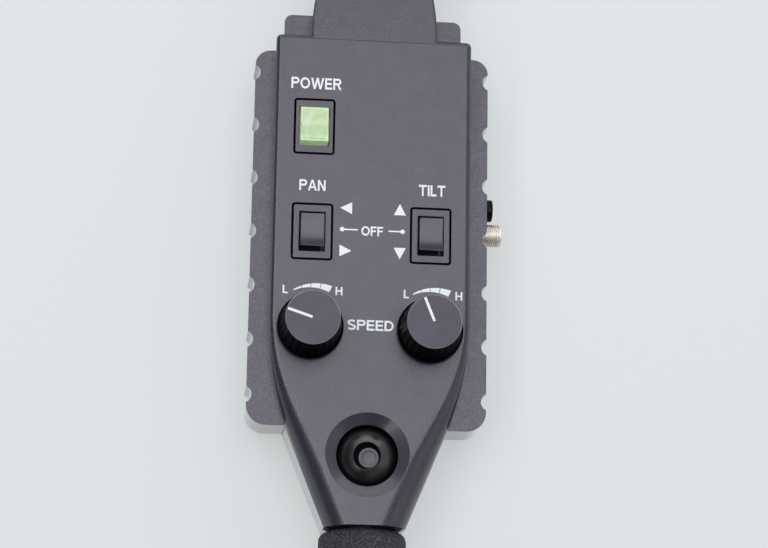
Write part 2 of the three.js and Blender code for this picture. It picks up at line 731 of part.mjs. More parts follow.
// A ring of radial teeth round a flat hub, facing up from height 0
function rosetteGeometry() {
  const steps = ROSETTE_TEETH * 2;
  const rootRadius = ROSETTE_HUB_RADIUS + ROSETTE_TOOTH_HEIGHT / 2;
  const toothed = (radius) => (k) =>
    ROSETTE_THICKNESS + (((k % 2) - 1 / 2) * ROSETTE_TOOTH_HEIGHT * radius) / ROSETTE_RADIUS;
  const level = (height) => () => height;
  const profile = [
    [ROSETTE_RADIUS, level(0)],
    [ROSETTE_RADIUS, toothed(ROSETTE_RADIUS)],
    [rootRadius, toothed(rootRadius)],
    [ROSETTE_HUB_RADIUS, level(ROSETTE_THICKNESS)],
  ];
  const rings = profile.map(([radius, height]) =>
    Array.from({ length: steps }, (_, k) => {
      const angle = (k / steps) * 2 * Math.PI;
      return [radius * Math.cos(angle), radius * Math.sin(angle), height(k)];
    }),
  );
  return cut(skin(rings), bar(STUD_RADIUS + CLEARANCE, -OVERRUN, ROSETTE_THICKNESS + OVERRUN));
}

// A ring whose radius waves in and out as it goes round
function wavyRing(radius, depth, waves, stepsPerWave, height) {
  const steps = waves * stepsPerWave;
  return Array.from({ length: steps }, (_, k) => {
    const angle = (k / steps) * 2 * Math.PI;
    const reach = radius - (depth / 2) * (1 - Math.cos(angle * waves));
    return [reach * Math.cos(angle), reach * Math.sin(angle), height];
  });
}

function clampKnobGeometry() {
  const collarTop = CLAMP_COLLAR_LENGTH;
  const top = collarTop + CLAMP_KNOB_LENGTH;
  const rows = [
    [CLAMP_KNOB_RADIUS - CLAMP_KNOB_EDGE, collarTop],
    [CLAMP_KNOB_RADIUS, collarTop + CLAMP_KNOB_EDGE],
    [CLAMP_KNOB_RADIUS, top - CLAMP_KNOB_EDGE],
    [CLAMP_KNOB_RADIUS - CLAMP_KNOB_EDGE / 2, top - CLAMP_KNOB_EDGE / 3],
    [CLAMP_KNOB_RADIUS - CLAMP_KNOB_EDGE * 2, top],
  ];
  const grip = skin(
    rows.map(([radius, height]) =>
      wavyRing(radius, CLAMP_KNOB_LOBE * 2, CLAMP_KNOB_LOBES, LOBE_STEPS, height),
    ),
  );
  const collar = bar(CLAMP_COLLAR_RADIUS, 0, collarTop + CLAMP_KNOB_EDGE, ROUND_STEPS);
  const bore = bar(STUD_RADIUS + CLEARANCE, -OVERRUN, collarTop + CLAMP_KNOB_LENGTH / 2);
  return cut(join(grip, collar), bore);
}

function speedKnobGeometry() {
  const skirtTop = KNOB_LIFT + KNOB_SKIRT_HEIGHT;
  const top = KNOB_LIFT + KNOB_HEIGHT;
  const chamfer = KNOB_TOP_RADIUS - KNOB_FACE_RADIUS;
  const rows = [
    [KNOB_BASE_RADIUS, 0, KNOB_LIFT],
    [KNOB_BASE_RADIUS - chamfer / 2, KNOB_FLUTE_DEPTH, skirtTop],
    [KNOB_TOP_RADIUS, KNOB_FLUTE_DEPTH, top - chamfer * 2],
    [KNOB_TOP_RADIUS, 0, top - chamfer],
    [KNOB_FACE_RADIUS, 0, top],
  ];
  const outside = skin(
    rows.map(([radius, depth, height]) =>
      wavyRing(radius, depth, KNOB_FLUTES, FLUTE_STEPS, height),
    ),
  );
  const hollow = bar(KNOB_HOLLOW_RADIUS, -OVERRUN, KNOB_LIFT + KNOB_HOLLOW_DEPTH, ROUND_STEPS);
  const bore = bar(SHAFT_RADIUS + CLEARANCE, -OVERRUN, SHAFT_RISE + CLEARANCE);
  return cut(outside, hollow, bore);
}

// Potentiometer body with its threaded bushing, hung under the panel, whose face is height 0
function potentiometerGeometry() {
  const top = -SHELL_WALL - CLEARANCE;
  const bore = SHAFT_RADIUS + CLEARANCE;
  return turned(
    [
      [0, top - POT_DEPTH],
      [POT_RADIUS, top - POT_DEPTH],
      [POT_RADIUS, top],
      [BUSHING_RADIUS, top],
      [BUSHING_RADIUS, BUSHING_RISE],
      [bore, BUSHING_RISE],
      [bore, top - SHAFT_TAIL - CLEARANCE],
      [0, top - SHAFT_TAIL - CLEARANCE],
    ],
    SMALL_ROUND_STEPS,
  );
}

function hexNut(acrossCorners, boreRadius, low, high) {
  const hexagon = bar(acrossCorners / 2, low, high, HEXAGON);
  return cut(hexagon, bar(boreRadius, low - OVERRUN, high + OVERRUN));
}

// Screw that points along +Z, its head's outer face at height 0
function screwGeometry(length) {
  const screw = turned(
    [
      [0, 0],
      [SCREW_HEAD_RADIUS, 0],
      [SCREW_HEAD_RADIUS, SCREW_HEAD_HEIGHT],
      [SCREW_SHANK_RADIUS, SCREW_HEAD_HEIGHT],
      [SCREW_SHANK_RADIUS, SCREW_HEAD_HEIGHT + length],
      [0, SCREW_HEAD_HEIGHT + length],
    ],
    TINY_ROUND_STEPS,
  );
  return cut(screw, bar(SCREW_SOCKET_ACROSS_CORNERS / 2, -OVERRUN, SCREW_SOCKET_DEPTH, HEXAGON));
}

// Switch body with its flush frame and the well that the rocker sits in, panel face at height 0
function switchBodyGeometry(openingWidth, openingLength, rockerWidth) {
  const width = SWITCH_CUTOUT_WIDTH - SWITCH_FRAME_GAP * 2;
  const length = SWITCH_CUTOUT_LENGTH - SWITCH_FRAME_GAP * 2;
  const corner = SWITCH_CUTOUT_CORNER - SWITCH_FRAME_GAP;
  const body = prism(roundedRectangle(width, length, corner), -SWITCH_BODY_DEPTH, 0, INNER_CORNER_STEPS);
  const well = block(
    [-openingWidth / 2, -openingLength / 2, -SWITCH_WELL_DEPTH],
    [openingWidth / 2, openingLength / 2, OVERRUN],
  );
  const pinReach = rockerWidth / 2 + ROCKER_PIN_LENGTH + CLEARANCE;
  const pinHole = bar(ROCKER_PIN_RADIUS + CLEARANCE, -pinReach, pinReach)
    .rotateY(Math.PI / 2)
    .translate(0, 0, -ROCKER_PIVOT_DEPTH);
  const terminals = [-1, 0, 1].map((place) => {
    const y = place * SWITCH_TERMINAL_PITCH;
    return block(
      [
        -SWITCH_TERMINAL_WIDTH / 2,
        y - SWITCH_TERMINAL_THICKNESS / 2,
        -SWITCH_BODY_DEPTH - SWITCH_TERMINAL_LENGTH,
      ],
      [
        SWITCH_TERMINAL_WIDTH / 2,
        y + SWITCH_TERMINAL_THICKNESS / 2,
        SWITCH_TERMINAL_THICKNESS - SWITCH_BODY_DEPTH,
      ],
    );
  });
  return join(cut(body, well, pinHole), ...terminals);
}

// Rocker about its own pivot: two faces that meet in a shallow valley, over a narrower foot
function rockerGeometry(width, length, rise, dip) {
  const half = length / 2;
  const top = ROCKER_PIVOT_DEPTH + rise;
  const side = [
    [0, top - dip],
    [half, top],
    [half * ROCKER_WAIST_SHARE, ROCKER_WAIST_RISE],
    [half * ROCKER_FOOT_SHARE, -ROCKER_FOOT_DROP],
  ];
  const mirrored = side.slice(1).map(([y, z]) => [-y, z]).reverse();
  const outline = [...side, ...mirrored].map(([y, z]) => new THREE.Vector2(y, z));
  const rocker = prism(new THREE.Shape(outline), -width / 2, width / 2)
    .rotateZ(Math.PI / 2)
    .rotateY(Math.PI / 2);
  const reach = width / 2 + ROCKER_PIN_LENGTH;
  const pin = bar(ROCKER_PIN_RADIUS, -reach, reach).rotateY(Math.PI / 2);
  return join(rocker, pin);
}

function lampGeometry() {
  const shoulder = LAMP_HEIGHT - LAMP_RADIUS;
  const dome = Array.from({ length: END_STEPS + 1 }, (_, k) => {
    const angle = (k / END_STEPS) * (Math.PI / 2);
    return [LAMP_RADIUS * Math.cos(angle), shoulder + LAMP_RADIUS * Math.sin(angle)];
  });
  return turned([[0, 0], [LAMP_RADIUS, 0], ...dome], TINY_ROUND_STEPS);
}

// Points of an arc about the gimbal's centre, from one angle off the axis to another
function arcPoints(radius, start, end) {
  return Array.from({ length: DOME_STEPS + 1 }, (_, k) => {
    const angle = THREE.MathUtils.lerp(start, end, k / DOME_STEPS);
    return [radius * Math.sin(angle), radius * Math.cos(angle)];
  });
}

const wellRim = Math.sqrt(DOME_RADIUS ** 2 - DOME_WELL_RADIUS ** 2);
const wellFloor = wellRim - DOME_WELL_DEPTH;

// Half-ball cover with a well for the stick's cap, about the gimbal's centre
function domeGeometry() {
  const insideRadius = DOME_RADIUS - DOME_WALL;
  const ceiling = wellFloor - DOME_WALL;
  const ceilingAngle = Math.acos(ceiling / insideRadius);
  return turned([
    ...arcPoints(DOME_RADIUS, DOME_EDGE_ANGLE, Math.asin(DOME_WELL_RADIUS / DOME_RADIUS)),
    [DOME_WELL_RADIUS, wellFloor],
    [STICK_SHAFT_RADIUS + CLEARANCE, wellFloor],
    [STICK_SHAFT_RADIUS + CLEARANCE, ceiling],
    ...arcPoints(insideRadius, ceilingAngle, DOME_EDGE_ANGLE),
    [DOME_RADIUS * Math.sin(DOME_EDGE_ANGLE), DOME_RADIUS * Math.cos(DOME_EDGE_ANGLE)],
  ]);
}

function stickGeometry() {
  const capTop = wellRim - STICK_CAP_DROP;
  const capFloor = wellFloor + CLEARANCE;
  const rimWidth = (STICK_CAP_RADIUS - STICK_DIMPLE_RADIUS) / 2;
  const stick = turned(
    [
      [0, -STICK_TAIL_LENGTH],
      [STICK_SHAFT_RADIUS, -STICK_TAIL_LENGTH],
      [STICK_HUB_RADIUS, -PIVOT_PIN_RADIUS * 2],
      [STICK_HUB_RADIUS, PIVOT_PIN_RADIUS * 2],
      [STICK_SHAFT_RADIUS, PIVOT_PIN_RADIUS * 3],
      [STICK_SHAFT_RADIUS, capFloor],
      [STICK_CAP_RADIUS, capFloor],
      [STICK_CAP_RADIUS, capTop - rimWidth],
      [STICK_CAP_RADIUS - rimWidth, capTop],
      [STICK_DIMPLE_RADIUS, capTop],
      [STICK_DIMPLE_RADIUS * DIMPLE_RADIUS_SHARE, capTop - STICK_DIMPLE_DEPTH * DIMPLE_DEPTH_SHARE],
      [0, capTop - STICK_DIMPLE_DEPTH],
    ],
    MIDDLE_ROUND_STEPS,
  );
  const pinHole = bar(PIVOT_PIN_RADIUS + CLEARANCE, -wide, wide, TINY_ROUND_STEPS).rotateX(Math.PI / 2);
  return cut(stick, pinHole);
}

const cheekInside = RING_OUTER_RADIUS + CHEEK_GAP;
const cheekOutside = cheekInside + CHEEK_THICKNESS;

function gimbalRingGeometry() {
  const half = RING_HEIGHT / 2;
  const ring = turned([
    [RING_INNER_RADIUS, -half],
    [RING_OUTER_RADIUS, -half],
    [RING_OUTER_RADIUS, half],
    [RING_INNER_RADIUS, half],
    [RING_INNER_RADIUS, -half],
  ]);
  const middle = (RING_INNER_RADIUS + RING_OUTER_RADIUS) / 2;
  const trunnions = [1, -1].map((side) =>
    bar(PIVOT_PIN_RADIUS, Math.min(side * middle, side * cheekOutside),
      Math.max(side * middle, side * cheekOutside), TINY_ROUND_STEPS)
      .rotateY(Math.PI / 2),
  );
  const pinHole = bar(PIVOT_PIN_RADIUS + CLEARANCE, -wide, wide, TINY_ROUND_STEPS).rotateX(Math.PI / 2);
  return cut(join(ring, ...trunnions), pinHole);
}

// Joystick base with the two cheeks that carry the gimbal ring, about the gimbal's centre
function joystickBaseGeometry() {
  const floor = SHELL_WALL + CLEARANCE - gimbalZ;
  const half = BASE_SIZE / 2;
  const base = block([-half, -half, floor], [half, half, -BASE_TOP_DROP]);
  const cheeks = [1, -1].map((side) =>
    block(
      [Math.min(side * cheekInside, side * cheekOutside), -CHEEK_WIDTH / 2, -BASE_TOP_DROP - OVERRUN],
      [Math.max(side * cheekInside, side * cheekOutside), CHEEK_WIDTH / 2, CHEEK_RISE],
    ),
  );
  const bearing = bar(PIVOT_PIN_RADIUS + CLEARANCE, -wide, wide, TINY_ROUND_STEPS).rotateY(Math.PI / 2);
  return cut(join(base, ...cheeks), bearing);
}

function boardGeometry() {
  const board = block(
    [-boardHalf, boardLow, BOARD_HEIGHT],
    [boardHalf, boardTop, BOARD_HEIGHT + BOARD_THICKNESS],
  );
  const holes = boardPostPlaces.map((place) =>
    at(bar(screwHole, BOARD_HEIGHT - OVERRUN, BOARD_HEIGHT + OVERRUN * 2, TINY_ROUND_STEPS), place),
  );
  return cut(board, ...holes);
}

// Power jack along Z, its flange seated on the frame's outer face
function jackGeometry() {
  const face = FRAME_WIDTH / 2 + CLEARANCE;
  const mouth = FRAME_WIDTH / 2 + JACK_FLANGE_REACH;
  const boreEnd = mouth - JACK_BORE_DEPTH;
  return turned(
    [
      [0, frameInside() - SOCKET_TAIL],
      [JACK_BARREL_RADIUS, frameInside() - SOCKET_TAIL],
      [JACK_BARREL_RADIUS, face],
      [JACK_FLANGE_RADIUS, face],
      [JACK_FLANGE_RADIUS, mouth],
      [JACK_BORE_RADIUS, mouth],
      [JACK_BORE_RADIUS, boreEnd],
      [JACK_PIN_RADIUS, boreEnd],
      [JACK_PIN_RADIUS, mouth - JACK_PIN_SETBACK],
      [0, mouth - JACK_PIN_SETBACK],
    ],
    MIDDLE_ROUND_STEPS,
  );
}

const controlMouth = FRAME_WIDTH / 2 + CONTROL_REACH;
const controlNeckRadius = CONTROL_RADIUS - SHELL_WALL / 4;

// Threaded metal shell of the control socket along Z
function controlSocketGeometry() {
  const face = FRAME_WIDTH / 2 + CLEARANCE;
  return turned(
    [
      [CONTROL_BORE_RADIUS, frameInside() - SOCKET_TAIL],
      [controlNeckRadius, frameInside() - SOCKET_TAIL],
      [controlNeckRadius, face],
      [CONTROL_RADIUS, face],
      [CONTROL_RADIUS, controlMouth],
      [CONTROL_BORE_RADIUS, controlMouth],
      [CONTROL_BORE_RADIUS, frameInside() - SOCKET_TAIL],
    ],
    MIDDLE_ROUND_STEPS,
  );
}

function socketInsertGeometry() {
  const face = controlMouth - CONTROL_INSERT_SETBACK;
  const insert = bar(CONTROL_BORE_RADIUS - CLEARANCE, frameInside() - SOCKET_TAIL, face);
  const contacts = Array.from({ length: CONTROL_CONTACTS }, (_, k) => {
    const angle = ((k + 1 / 2) / CONTROL_CONTACTS) * 2 * Math.PI;
    const place = [CONTROL_CONTACT_CIRCLE * Math.cos(angle), CONTROL_CONTACT_CIRCLE * Math.sin(angle)];
    return at(bar(CONTROL_CONTACT_RADIUS, face - OVERRUN, face + OVERRUN, TINY_ROUND_STEPS), place);
  });
  return cut(insert, ...contacts);
}

function foamGeometry() {
  const inner = GRIP_TUBE_RADIUS + CLEARANCE;
  const shoulder = Array.from({ length: CORNER_STEPS + 1 }, (_, k) => {
    const angle = (k / CORNER_STEPS) * (Math.PI / 2);
    return [
      FOAM_RADIUS - FOAM_SHOULDER * (1 - Math.sin(angle)),
      FOAM_SHOULDER * (1 - Math.cos(angle)),
    ];
  });
  const far = shoulder.map(([radius, along]) => [radius, FOAM_LENGTH - along]).reverse();
  return turned([[inner, 0], ...shoulder, ...far, [inner, FOAM_LENGTH], [inner, 0]]);
}

function gripTubeGeometry(length) {
  const inner = GRIP_TUBE_RADIUS - GRIP_TUBE_WALL;
  return turned([
    [inner, 0],
    [GRIP_TUBE_RADIUS, 0],
    [GRIP_TUBE_RADIUS, length],
    [inner, length],
    [inner, 0],
  ]);
}

function endCapGeometry() {
  const plug = GRIP_TUBE_RADIUS - GRIP_TUBE_WALL - CLEARANCE;
  return turned([
    [0, -END_CAP_PLUG_LENGTH],
    [plug, -END_CAP_PLUG_LENGTH],
    [plug, 0],
    [END_CAP_RADIUS, 0],
    [END_CAP_RADIUS, END_CAP_THICKNESS - END_CAP_EDGE],
    [END_CAP_RADIUS - END_CAP_EDGE, END_CAP_THICKNESS],
    [0, END_CAP_THICKNESS],
  ]);
}

// Finishes of the materials that the pieces share
const finishes = {
  casing: { color: 0x6c6972, roughness: 0.6, metalness: 0 },
  rocker: { color: 0x77747f, roughness: 0.45, metalness: 0 },
  lens: { color: 0xb4dd9c, roughness: 0.35, metalness: 0 },
  lamp: { color: 0xe9f2dd, roughness: 0.3, metalness: 0 },
  knob: { color: 0x1a1a1c, roughness: 0.3, metalness: 0 },
  dome: { color: 0x2b2828, roughness: 0.4, metalness: 0 },
  stick: { color: 0x8b8890, roughness: 0.5, metalness: 0 },
  foam: { color: 0x343236, roughness: 0.95, metalness: 0 },
  blackPlastic: { color: 0x17171a, roughness: 0.5, metalness: 0 },
  nickel: { color: 0xd8d2c4, roughness: 0.3, metalness: 1 },
  steel: { color: 0x8f9296, roughness: 0.4, metalness: 1 },
  aluminium: { color: 0xa9abaf, roughness: 0.45, metalness: 1 },
  board: { color: 0x1f5a36, roughness: 0.55, metalness: 0 },
};

const controller = new THREE.Group();

// Adds a named piece, with its shared vertices welded and its faces turned outwards
function add(name, geometry, finish, parent = controller) {
  const material = new THREE.MeshStandardMaterial(finishes[finish]);
  const mesh = new THREE.Mesh(geometryOf(solidOf(geometry)), material);
  mesh.name = name;
  parent.add(mesh);
  return mesh;
}

function groupAt(x, y, z) {
  const group = new THREE.Group();
  group.position.set(x, y, z);
  controller.add(group);
  return group;
}

function addBody() {
  add("front_shell", frontShellGeometry(), "casing");
  add("side_frame", sideFrameGeometry(), "casing");
  add("rear_shell", rearShellGeometry(), "casing");
}

function addNeck() {
  add("neck_arm", neckArmGeometry(), "casing");
  const rosetteSeat = bossHalf + CLEARANCE;
  const left = groupAt(-rosetteSeat, bossY, GRIP_AXIS_HEIGHT);
  left.rotation.y = -Math.PI / 2;
  add("rosette", rosetteGeometry(), "aluminium", left);
  const right = groupAt(bossHalf + CLEARANCE * 2, bossY, GRIP_AXIS_HEIGHT);
  right.rotation.y = Math.PI / 2;
  add("clamp_knob", clampKnobGeometry(), "blackPlastic", right);
  const studTip = rosetteSeat + ROSETTE_THICKNESS + STUD_REACH + bossHalf + CLEARANCE * 2;
  const studHead = CLAMP_COLLAR_LENGTH + CLAMP_KNOB_LENGTH / 2 - CLEARANCE;
  add("clamp_stud", bar(STUD_RADIUS, -studTip, studHead), "steel", right);
}

function addGrip() {
  const foamStart = noseEnd - FOAM_GAP;
  const tubeStart = noseEnd + GRIP_TUBE_ENTRY - CLEARANCE;
  const capSeat = foamStart - FOAM_LENGTH - CLEARANCE;
  const parts = [
    ["grip_tube", gripTubeGeometry(tubeStart - capSeat - CLEARANCE), "aluminium", tubeStart],
    ["foam_grip", foamGeometry(), "foam", foamStart],
    ["grip_end_cap", endCapGeometry(), "blackPlastic", capSeat],
  ];
  for (const [name, geometry, finish, y] of parts) {
    const holder = groupAt(0, y, GRIP_AXIS_HEIGHT);
    holder.rotation.x = Math.PI / 2;
    add(name, geometry, finish, holder);
  }
}

function addSwitches() {
  const power = [POWER_OPENING_WIDTH, POWER_OPENING_LENGTH, POWER_ROCKER_WIDTH];
  const direction = [DIRECTION_OPENING_WIDTH, DIRECTION_OPENING_LENGTH, DIRECTION_ROCKER_WIDTH];
  for (const [name, [x, y]] of Object.entries(switchPlaces)) {
    const place = groupAt(x, y, panelZ);
    const openings = name === "power" ? power : direction;
    add(`${name}_switch_body`, switchBodyGeometry(...openings), "casing", place);
  }
  for (const name of ["pan", "tilt"]) {
    const geometry = rockerGeometry(
      DIRECTION_ROCKER_WIDTH,
      DIRECTION_ROCKER_LENGTH,
      DIRECTION_ROCKER_RISE,
      DIRECTION_ROCKER_DIP,
    );
    const [x, y] = switchPlaces[name];
    add(`${name}_rocker`, geometry, "rocker", groupAt(x, y, panelZ - ROCKER_PIVOT_DEPTH));
  }
  const [x, y] = switchPlaces.power;
  const lens = rockerGeometry(
    POWER_ROCKER_WIDTH,
    POWER_ROCKER_LENGTH,
    POWER_ROCKER_RISE,
    POWER_ROCKER_DIP,
  );
  const pivot = groupAt(x, y, panelZ - ROCKER_PIVOT_DEPTH);
  pivot.rotation.x = POWER_REST_TILT;
  add("power_rocker", lens, "lens", pivot);
  const lampSeat = panelZ - SWITCH_WELL_DEPTH + CLEARANCE;
  add("power_lamp", lampGeometry(), "lamp", groupAt(x, y, lampSeat));
}

function addKnobs() {
  const nutLow = CLEARANCE;
  for (const [name, [x, y]] of Object.entries(knobPlaces)) {
    const place = groupAt(x, y, panelZ);
    add(`${name}_speed_potentiometer`, potentiometerGeometry(), "blackPlastic", place);
    add(
      `${name}_potentiometer_nut`,
      hexNut(NUT_ACROSS_CORNERS, BUSHING_RADIUS + CLEARANCE, nutLow, nutLow + NUT_THICKNESS),
      "steel",
      place,
    );
    const shaft = bar(SHAFT_RADIUS, -SHELL_WALL - CLEARANCE - SHAFT_TAIL, SHAFT_RISE);
    add(`${name}_speed_shaft`, shaft, "steel", place);
    add(`${name}_speed_knob`, speedKnobGeometry(), "knob", place);
  }
}

function addJoystick() {
  const centre = groupAt(0, joystickRow, gimbalZ);
  add("joystick_base", joystickBaseGeometry(), "blackPlastic", centre);
  add("gimbal_ring", gimbalRingGeometry(), "steel", centre);
  const pinHalf = RING_OUTER_RADIUS - CLEARANCE;
  const pin = bar(PIVOT_PIN_RADIUS, -pinHalf, pinHalf, TINY_ROUND_STEPS).rotateX(Math.PI / 2);
  add("gimbal_cross_pin", pin, "steel", centre);
  add("joystick_stick", stickGeometry(), "stick", centre);
  add("joystick_dome", domeGeometry(), "dome", centre);
  const sensorLow = CLEARANCE - BASE_TOP_DROP;
  const sensor = block(
    [-SENSOR_SIZE / 2, -SENSOR_SIZE / 2, sensorLow],
    [SENSOR_SIZE / 2, SENSOR_SIZE / 2, sensorLow + SENSOR_THICKNESS],
  );
  add("joystick_sensor_board", sensor, "board", centre);
}

function addSockets() {
  const sockets = [
    ["dc_jack", jackGeometry(), "blackPlastic", JACK_ROW],
    ["control_socket", controlSocketGeometry(), "nickel", CONTROL_ROW],
    ["socket_insert", socketInsertGeometry(), "blackPlastic", CONTROL_ROW],
  ];
  for (const [name, geometry, finish, y] of sockets) {
    add(name, sideways(geometry, y), finish);
  }
}

function addScrews() {
  const all = [...caseScrewPlaces, ...neckScrewPlaces];
  all.forEach(([x, y], k) => {
    const label = k < caseScrewPlaces.length ? "case_screw" : "neck_screw";
    const number = k < caseScrewPlaces.length ? k + 1 : k + 1 - caseScrewPlaces.length;
    add(`${label}_${number}`, screwGeometry(CASE_SCREW_LENGTH), "steel", groupAt(x, y, SCREW_RECESS));
  });
  const headFace = BOARD_HEIGHT + BOARD_THICKNESS + CLEARANCE + SCREW_HEAD_HEIGHT;
  boardPostPlaces.forEach(([x, y], k) => {
    const place = groupAt(x, y, headFace);
    place.rotation.x = Math.PI;
    add(`board_screw_${k + 1}`, screwGeometry(BOARD_SCREW_LENGTH), "steel", place);
  });
}

addBody();
addNeck();
addGrip();
addSwitches();
addKnobs();
addJoystick();
add("circuit_board", boardGeometry(), "board");
addSockets();
addScrews();

export default controller;
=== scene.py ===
"""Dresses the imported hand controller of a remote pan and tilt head.

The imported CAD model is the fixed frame. Each sub-assembly is a class that builds its own meshes
round that frame, gives them their finishes and lets them ride on the CAD bodies.
"""

from __future__ import annotations

import json
import logging
import math
from contextlib import contextmanager
from dataclasses import dataclass
from enum import Enum
from typing import Any, Callable, ClassVar, Iterator, Sequence

import bmesh
import bpy
from mathutils import Matrix, Vector

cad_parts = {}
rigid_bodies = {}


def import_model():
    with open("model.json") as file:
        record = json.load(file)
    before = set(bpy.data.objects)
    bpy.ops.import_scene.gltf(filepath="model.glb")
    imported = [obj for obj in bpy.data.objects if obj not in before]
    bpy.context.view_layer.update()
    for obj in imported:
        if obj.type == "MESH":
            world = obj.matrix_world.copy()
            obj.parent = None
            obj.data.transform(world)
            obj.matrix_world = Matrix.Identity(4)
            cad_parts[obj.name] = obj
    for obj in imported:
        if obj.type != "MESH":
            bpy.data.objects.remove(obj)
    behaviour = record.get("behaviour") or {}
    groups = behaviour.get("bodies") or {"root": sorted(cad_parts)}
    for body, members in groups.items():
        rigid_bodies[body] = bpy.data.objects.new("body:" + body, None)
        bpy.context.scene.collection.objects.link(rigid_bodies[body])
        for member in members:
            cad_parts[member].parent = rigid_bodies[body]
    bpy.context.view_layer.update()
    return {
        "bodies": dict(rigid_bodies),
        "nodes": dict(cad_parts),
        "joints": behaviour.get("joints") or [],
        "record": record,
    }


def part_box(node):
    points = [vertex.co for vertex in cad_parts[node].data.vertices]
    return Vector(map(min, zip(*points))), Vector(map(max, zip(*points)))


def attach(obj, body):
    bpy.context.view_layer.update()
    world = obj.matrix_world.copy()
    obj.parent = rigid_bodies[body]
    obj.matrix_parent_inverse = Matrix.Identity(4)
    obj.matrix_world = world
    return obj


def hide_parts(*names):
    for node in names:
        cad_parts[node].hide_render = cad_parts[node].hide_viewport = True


log = logging.getLogger("controller")

MM = 0.001
WELD = 0.002 * MM
TINY = 0.01 * MM
FLAT_ANGLE = math.radians(0.5)
SMOOTH_ANGLE = math.radians(24)
BEVEL_ANGLE = math.radians(24)

Object = bpy.types.Object
Material = bpy.types.Material
Colour = tuple[float, float, float]
Flat = tuple[float, float]


class Axis(Enum):
    """Which way a turned piece's own axis points once it is in place."""

    UP = (0.0, 0.0, 1.0)
    RIGHT = (1.0, 0.0, 0.0)
    DOWN_THE_GRIP = (0.0, -1.0, 0.0)


class Element(Enum):
    """The kind of element that an edit works on."""

    VERT = "VERT"
    EDGE = "EDGE"
    FACE = "FACE"


# Shader arithmetic


def linear(colour: Colour) -> tuple[float, float, float, float]:
    """Turns a colour in screen values from 0 to 255 into scene values.

    Args:
        colour: Red, green and blue as a screen shows them.

    Returns:
        The same colour in scene values, opaque.
    """
    low_end = 0.04045
    shares = [value / 255 for value in colour]
    bright = [s / 12.92 if s <= low_end else ((s + 0.055) / 1.055) ** 2.4 for s in shares]
    return (bright[0], bright[1], bright[2], 1.0)


class Socket:
    """A shader value that takes part in Python sums by adding Math nodes."""

    def __init__(self, graph: Graph, output: bpy.types.NodeSocket) -> None:
        """Keeps the graph and the output socket that carries the value."""
        self.graph = graph
        self.output = output

    def _math(self, operation: str, first: Any, second: Any) -> Socket:
        """Adds one Math node for two values."""
        return self.graph.node("ShaderNodeMath", {"operation": operation}, {0: first, 1: second})

    def __add__(self, other: Any) -> Socket:
        """Adds a value or another socket."""
        return self._math("ADD", self, other)

    __radd__ = __add__

    def __sub__(self, other: Any) -> Socket:
        """Takes a value or another socket away."""
        return self._math("SUBTRACT", self, other)

    def __rsub__(self, other: Any) -> Socket:
        """Takes this socket away from a value."""
        return self._math("SUBTRACT", other, self)

    def __mul__(self, other: Any) -> Socket:
        """Multiplies by a value or another socket."""
        return self._math("MULTIPLY", self, other)

    __rmul__ = __mul__


class Graph:
    """The node tree of one material, with its Principled shader and Object coordinates."""

    def __init__(self, name: str) -> None:
        """Starts a material with an empty recipe."""
        self.material = bpy.data.materials.new(name)
        self.material.use_nodes = True
        self.tree = self.material.node_tree
        self.shader = self.tree.nodes["Principled BSDF"]
        self.place = self.node("ShaderNodeTexCoord", output="Object")

    def node(
        self,
        kind: str,
        settings: dict[str, Any] | None = None,
        inputs: dict[int | str, Any] | None = None,
        output: int | str = 0,
    ) -> Socket:
        """Adds one node.

        Args:
            kind: The node's type.
            settings: Its settings, set first.
            inputs: The value or the link of each of its sockets.
            output: Which output to give back.

        Returns:
            The chosen output.
        """
        node = self.tree.nodes.new(kind)
        for name, value in (settings or {}).items():
            setattr(node, name, value)
        for key, value in (inputs or {}).items():
            self.feed(node.inputs[key], value)
        return Socket(self, node.outputs[output])

    def feed(self, target: bpy.types.NodeSocket, value: Any) -> None:
        """Links a socket to an input, or sets the input's own value."""
        if isinstance(value, Socket):
            self.tree.links.new(value.output, target)
        else:
            target.default_value = value

    def noise(self, size: float, detail: float = 2.0, seed: float = 0.0) -> Socket:
        """Adds noise whose blotches are about one size across, in metres."""
        shifted = self.node(
            "ShaderNodeVectorMath", {"operation": "ADD"}, {0: self.place, 1: (seed, seed, seed)}
        )
        return self.node(
            "ShaderNodeTexNoise", {}, {"Vector": shifted, "Scale": 1 / size, "Detail": detail}
        )

    def cells(self, size: float) -> Socket:
        """Adds the distance to the middle of the nearest of many cells of one size."""
        return self.node("ShaderNodeTexVoronoi", {}, {"Vector": self.place, "Scale": 1 / size})

    def steepness(self) -> Socket:
        """Gives 1 where a surface lies level and 0 where it stands upright."""
        normal = self.node("ShaderNodeNewGeometry", output="Normal")
        height = self.node("ShaderNodeSeparateXYZ", {}, {0: normal}, output="Z")
        return self.node("ShaderNodeMath", {"operation": "ABSOLUTE"}, {0: height})

    def spread(self, value: Socket, low: float, high: float) -> Socket:
        """Spreads the part of a value between low and high over 0 to 1."""
        return self.node(
            "ShaderNodeMapRange", {"clamp": True}, {0: value, 1: low, 2: high, 3: 0.0, 4: 1.0}
        )

    def mix(self, factor: Any, first: Any, second: Any) -> Socket:
        """Mixes two colours."""
        settings = {"data_type": "RGBA"}
        return self.node("ShaderNodeMix", settings, {0: factor, 6: first, 7: second}, output=2)

    def bump(self, height: Socket, depth: float, under: Socket | None = None) -> Socket:
        """Turns a height from 0 to 1 into a normal, over another one if given."""
        inputs = {"Height": height, "Distance": depth, "Strength": 1.0}
        if under is not None:
            inputs["Normal"] = under
        return self.node("ShaderNodeBump", {}, inputs)

    def finish(self, **inputs: Any) -> Material:
        """Feeds the Principled shader by the names of its sockets.

        Args:
            inputs: Values or links, with "_" for a space in the socket's name.

        Returns:
            The finished material.
        """
        for name, value in inputs.items():
            self.feed(self.shader.inputs[name.replace("_", " ")], value)
        return self.material


# Finishes


